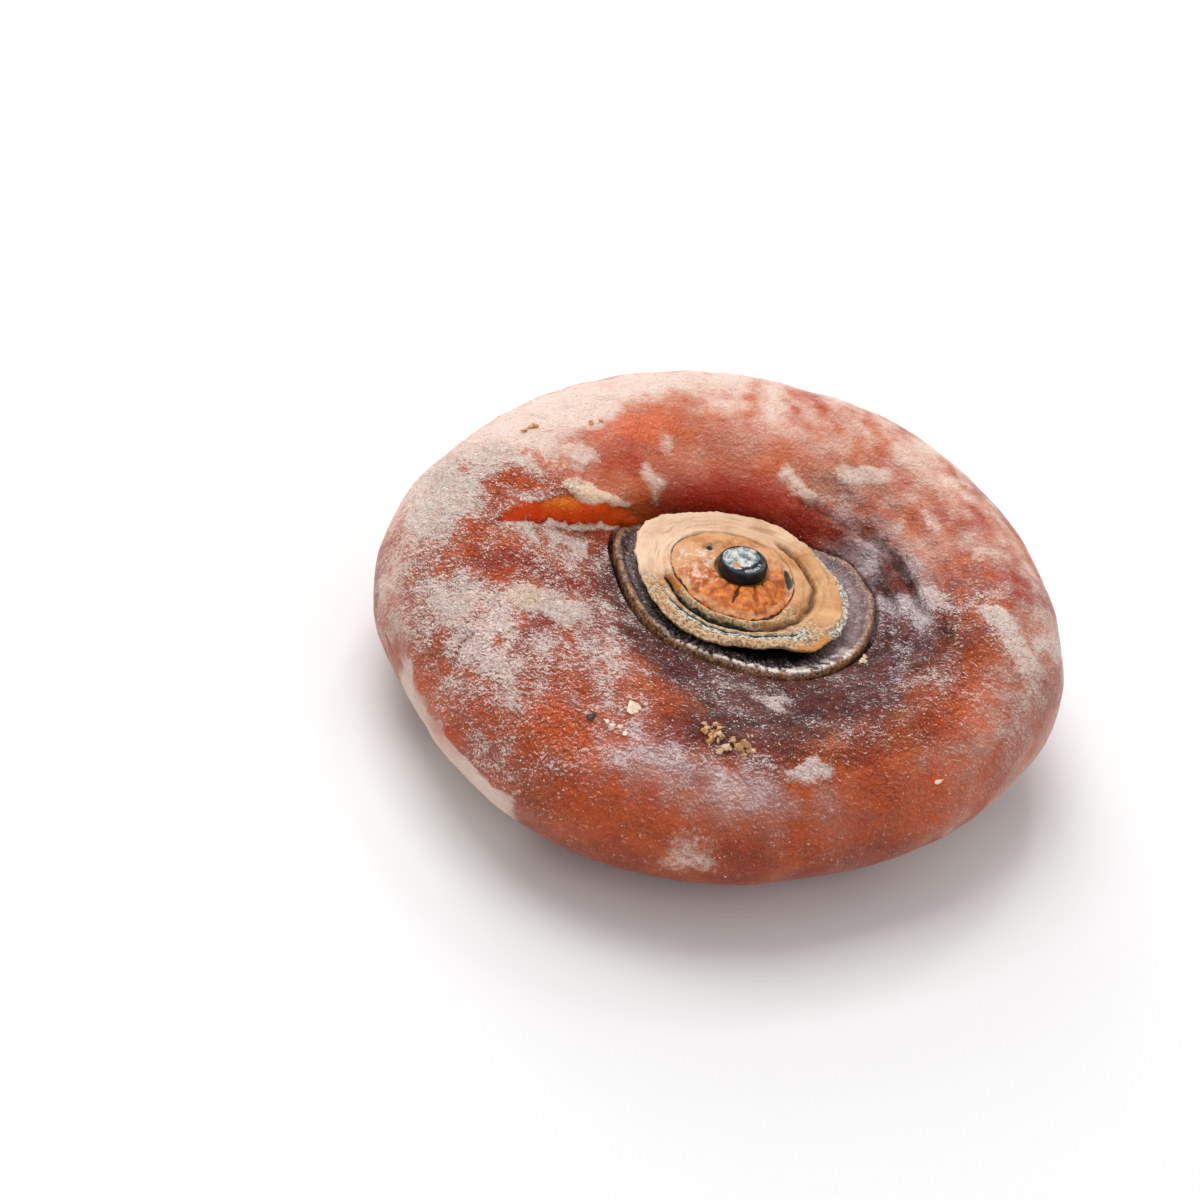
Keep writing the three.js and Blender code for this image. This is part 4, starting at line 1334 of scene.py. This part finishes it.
# Loose bits on the flesh: bearing, reach, size, three stretches, number of chips, and what it is: 0 sugar,
# 0.5 golden, 1 dark
BITS = [
    (251, 25.9, 2.9, (1.1, 0.8, 0.3), 1, 0.0), (249, 28.8, 0.9, (1, 1, 0.6), 1, 0.0),
    (247.5, 28.6, 0.8, (1, 1, 0.6), 1, 0.0), (250.5, 28.4, 0.8, (1, 1, 0.6), 1, 0.0),
    (252, 28.9, 0.7, (1, 1, 0.6), 1, 0.0), (245, 29.1, 0.9, (1, 1, 0.6), 2, 1.0),
    (269.5, 25.4, 0.95, (1, 1, 0.6), 10, 0.45), (268, 24.6, 0.8, (1, 1, 0.6), 5, 0.35),
    (275.5, 26.1, 0.95, (1, 1, 0.6), 11, 0.4), (273, 26.6, 0.9, (1, 1, 0.6), 6, 0.3),
    (278, 26.4, 0.7, (1, 1, 0.6), 3, 0.3), (153, 32.3, 0.9, (1.3, 0.8, 0.5), 3, 0.5),
    (138, 27.7, 0.8, (1.2, 0.8, 0.5), 2, 0.6), (316, 31.7, 1.0, (1.5, 0.6, 0.5), 1, 0.0),
    (333, 15.6, 0.7, (1, 1, 0.6), 4, 0.2), (162, 23.0, 0.7, (1, 1, 0.5), 2, 0.0),
]
# How far the chips of a bit lie from its middle, as a share of their size
CHIP_SPREAD = 0.6


def scattered(flesh, fields, count, chance):
    """Places for small crystals, more of them where the sugar and the grain are strong."""
    area = flesh.radius * np.abs(np.gradient(flesh.reach, axis=0))
    low, high = box_of("flesh")
    margin = CRYSTAL_SIZES[1]
    inside = ((flesh.grid > low + margin) & (flesh.grid < high - margin)).all(axis=2)
    want = area * (fields["grain"] ** 3 + 1.2 * fields["sugar"] ** 2) * (flesh.outside > 0.3) * inside
    picks = chance.choice(want.size, size=count, replace=False, p=(want / want.sum()).ravel())
    return np.unravel_index(picks, want.shape)


def make_crumbs(flesh, fields, grid):
    chance = np.random.default_rng(7)
    out = normals(grid)
    points = np.zeros((0, 3))
    faces = []
    kinds = []
    for bearing, reach, size, stretch, chips, kind in BITS:
        place = flesh.nearest(bearing, reach)
        for k in range(chips):
            aside = CHIP_SPREAD * size * chance.normal(size=3)
            aside -= 0.75 * (aside @ out[place]) * out[place]
            centre = grid[place] + (k > 0) * aside
            corners, sides = chip(centre, out[place], size, stretch, chance)
            faces += [tuple(len(points) + i for i in side) for side in sides]
            points = np.concatenate([points, corners])
            kinds += [kind] * len(corners)
    for place in zip(*scattered(flesh, fields, CRYSTALS, chance)):
        size = chance.uniform(*CRYSTAL_SIZES)
        corners, sides = crumb(grid[place], out[place], size, (1, chance.uniform(0.6, 1), 0.6), chance)
        faces += [tuple(len(points) + i for i in side) for side in sides]
        points = np.concatenate([points, corners])
        kinds += [0.0] * len(corners)
    return add_piece("sugar_crumbs", points, faces, {"kind": np.array(kinds)})


def crumb_finish():
    f = Finish("sugar")
    medium = f.lumps(0.5, 3, 0.6)
    colour = f.blend((0.84, 0.72, 0.60), (0.72, 0.50, 0.34), f.step(medium, 0.35, 0.7))
    golden = f.blend((0.30, 0.10, 0.018), (0.62, 0.32, 0.10), f.step(medium, 0.38, 0.6))
    colour = f.layered(
        colour,
        (golden, f.step(f.field("kind"), 0.05, 0.5)),
        ((0.03, 0.03, 0.035), f.step(f.field("kind"), 0.7, 0.95)),
    )
    f.bump(medium, 0.08, 0.6)
    return f.surface(Base_Color=colour, Roughness=f.add(0.4, f.times(medium, 0.2)), IOR=1.5)


def place_camera():
    """Aims the camera so that AIM_POINT shows at AIM_PIXEL of the photograph's frame."""
    tilt, roll = CAMERA_ELEVATION, CAMERA_ROLL
    ahead = np.array([0, cosine(tilt), -sine(tilt)])
    level = np.array([1, 0, 0])
    upright = np.array([0, sine(tilt), cosine(tilt)])
    right = cosine(roll) * level + sine(roll) * upright
    up = cosine(roll) * upright - sine(roll) * level
    focal = LENS / SENSOR
    middle_x = (AIM_PIXEL[0] / PHOTO_SIZE - 0.5) / focal
    middle_y = (0.5 - AIM_PIXEL[1] / PHOTO_SIZE) / focal
    ray = ahead + middle_x * right + middle_y * up
    camera = bpy.data.cameras.new("camera")
    camera.lens = LENS
    camera.sensor_width = SENSOR
    camera.clip_start = 0.01
    eye = bpy.data.objects.new("camera", camera)
    place = np.array(AIM_POINT) - CAMERA_DISTANCE * ray
    eye.matrix_world = Matrix([
        (right[0], up[0], -ahead[0], place[0]),
        (right[1], up[1], -ahead[1], place[1]),
        (right[2], up[2], -ahead[2], place[2]),
        (0, 0, 0, 1),
    ])
    bpy.context.scene.collection.objects.link(eye)
    bpy.context.scene.camera = eye


def area_light(name, place, size, power):
    light = bpy.data.lights.new(name, "AREA")
    light.size = size
    light.energy = power
    lamp = bpy.data.objects.new(name, light)
    lamp.location = place
    lamp.rotation_euler = (-Vector(place)).to_track_quat("-Z", "Y").to_euler()
    bpy.context.scene.collection.objects.link(lamp)


def make_floor():
    half = FLOOR_SIZE / 2 / MM
    corners = np.array([(-half, -half, 0), (half, -half, 0), (half, half, 0), (-half, half, 0)])
    floor = add_piece("floor", corners, [(0, 1, 2, 3)], {})
    floor.data.materials.append(Finish("floor").surface(Base_Color=FLOOR_COLOUR, Roughness=0.9))


def make_world():
    world = bpy.data.worlds.new("studio")
    world.use_nodes = True
    sky = world.node_tree.nodes["Background"]
    sky.inputs["Color"].default_value = (1, 1, 1, 1)
    sky.inputs["Strength"].default_value = WORLD_LIGHT
    bpy.context.scene.world = world


def place_piece(piece, material, slot, *nodes):
    piece.data.materials.append(material)
    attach(piece, "root")
    if nodes:
        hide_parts(*nodes)


flesh = Flesh()
flesh_marks = flesh_fields(flesh)
skin, skin_grid = make_flesh(flesh, flesh_marks)
place_piece(skin, flesh_finish(), "sugared_flesh", "flesh")
place_piece(make_collar(), collar_finish(), "dried_peel", "peel_collar")
place_piece(make_calyx(), calyx_finish(), "calyx_bark", "calyx")
place_piece(make_receptacle(), receptacle_finish(), "receptacle_bark", "receptacle")
place_piece(make_stem(), stem_finish(), "stem_bark", "stem_stub")
place_piece(make_crumbs(flesh, flesh_marks, skin_grid), crumb_finish(), "sugared_flesh")

place_camera()
make_floor()
make_world()
area_light("key", KEY_PLACE, KEY_SIZE, KEY_POWER)
area_light("back", BACK_PLACE, BACK_SIZE, BACK_POWER)
area_light("fill", FILL_PLACE, FILL_SIZE, FILL_POWER)
area_light("glint", GLINT_PLACE, GLINT_SIZE, GLINT_POWER)
bpy.context.scene.view_settings.view_transform = "Standard"
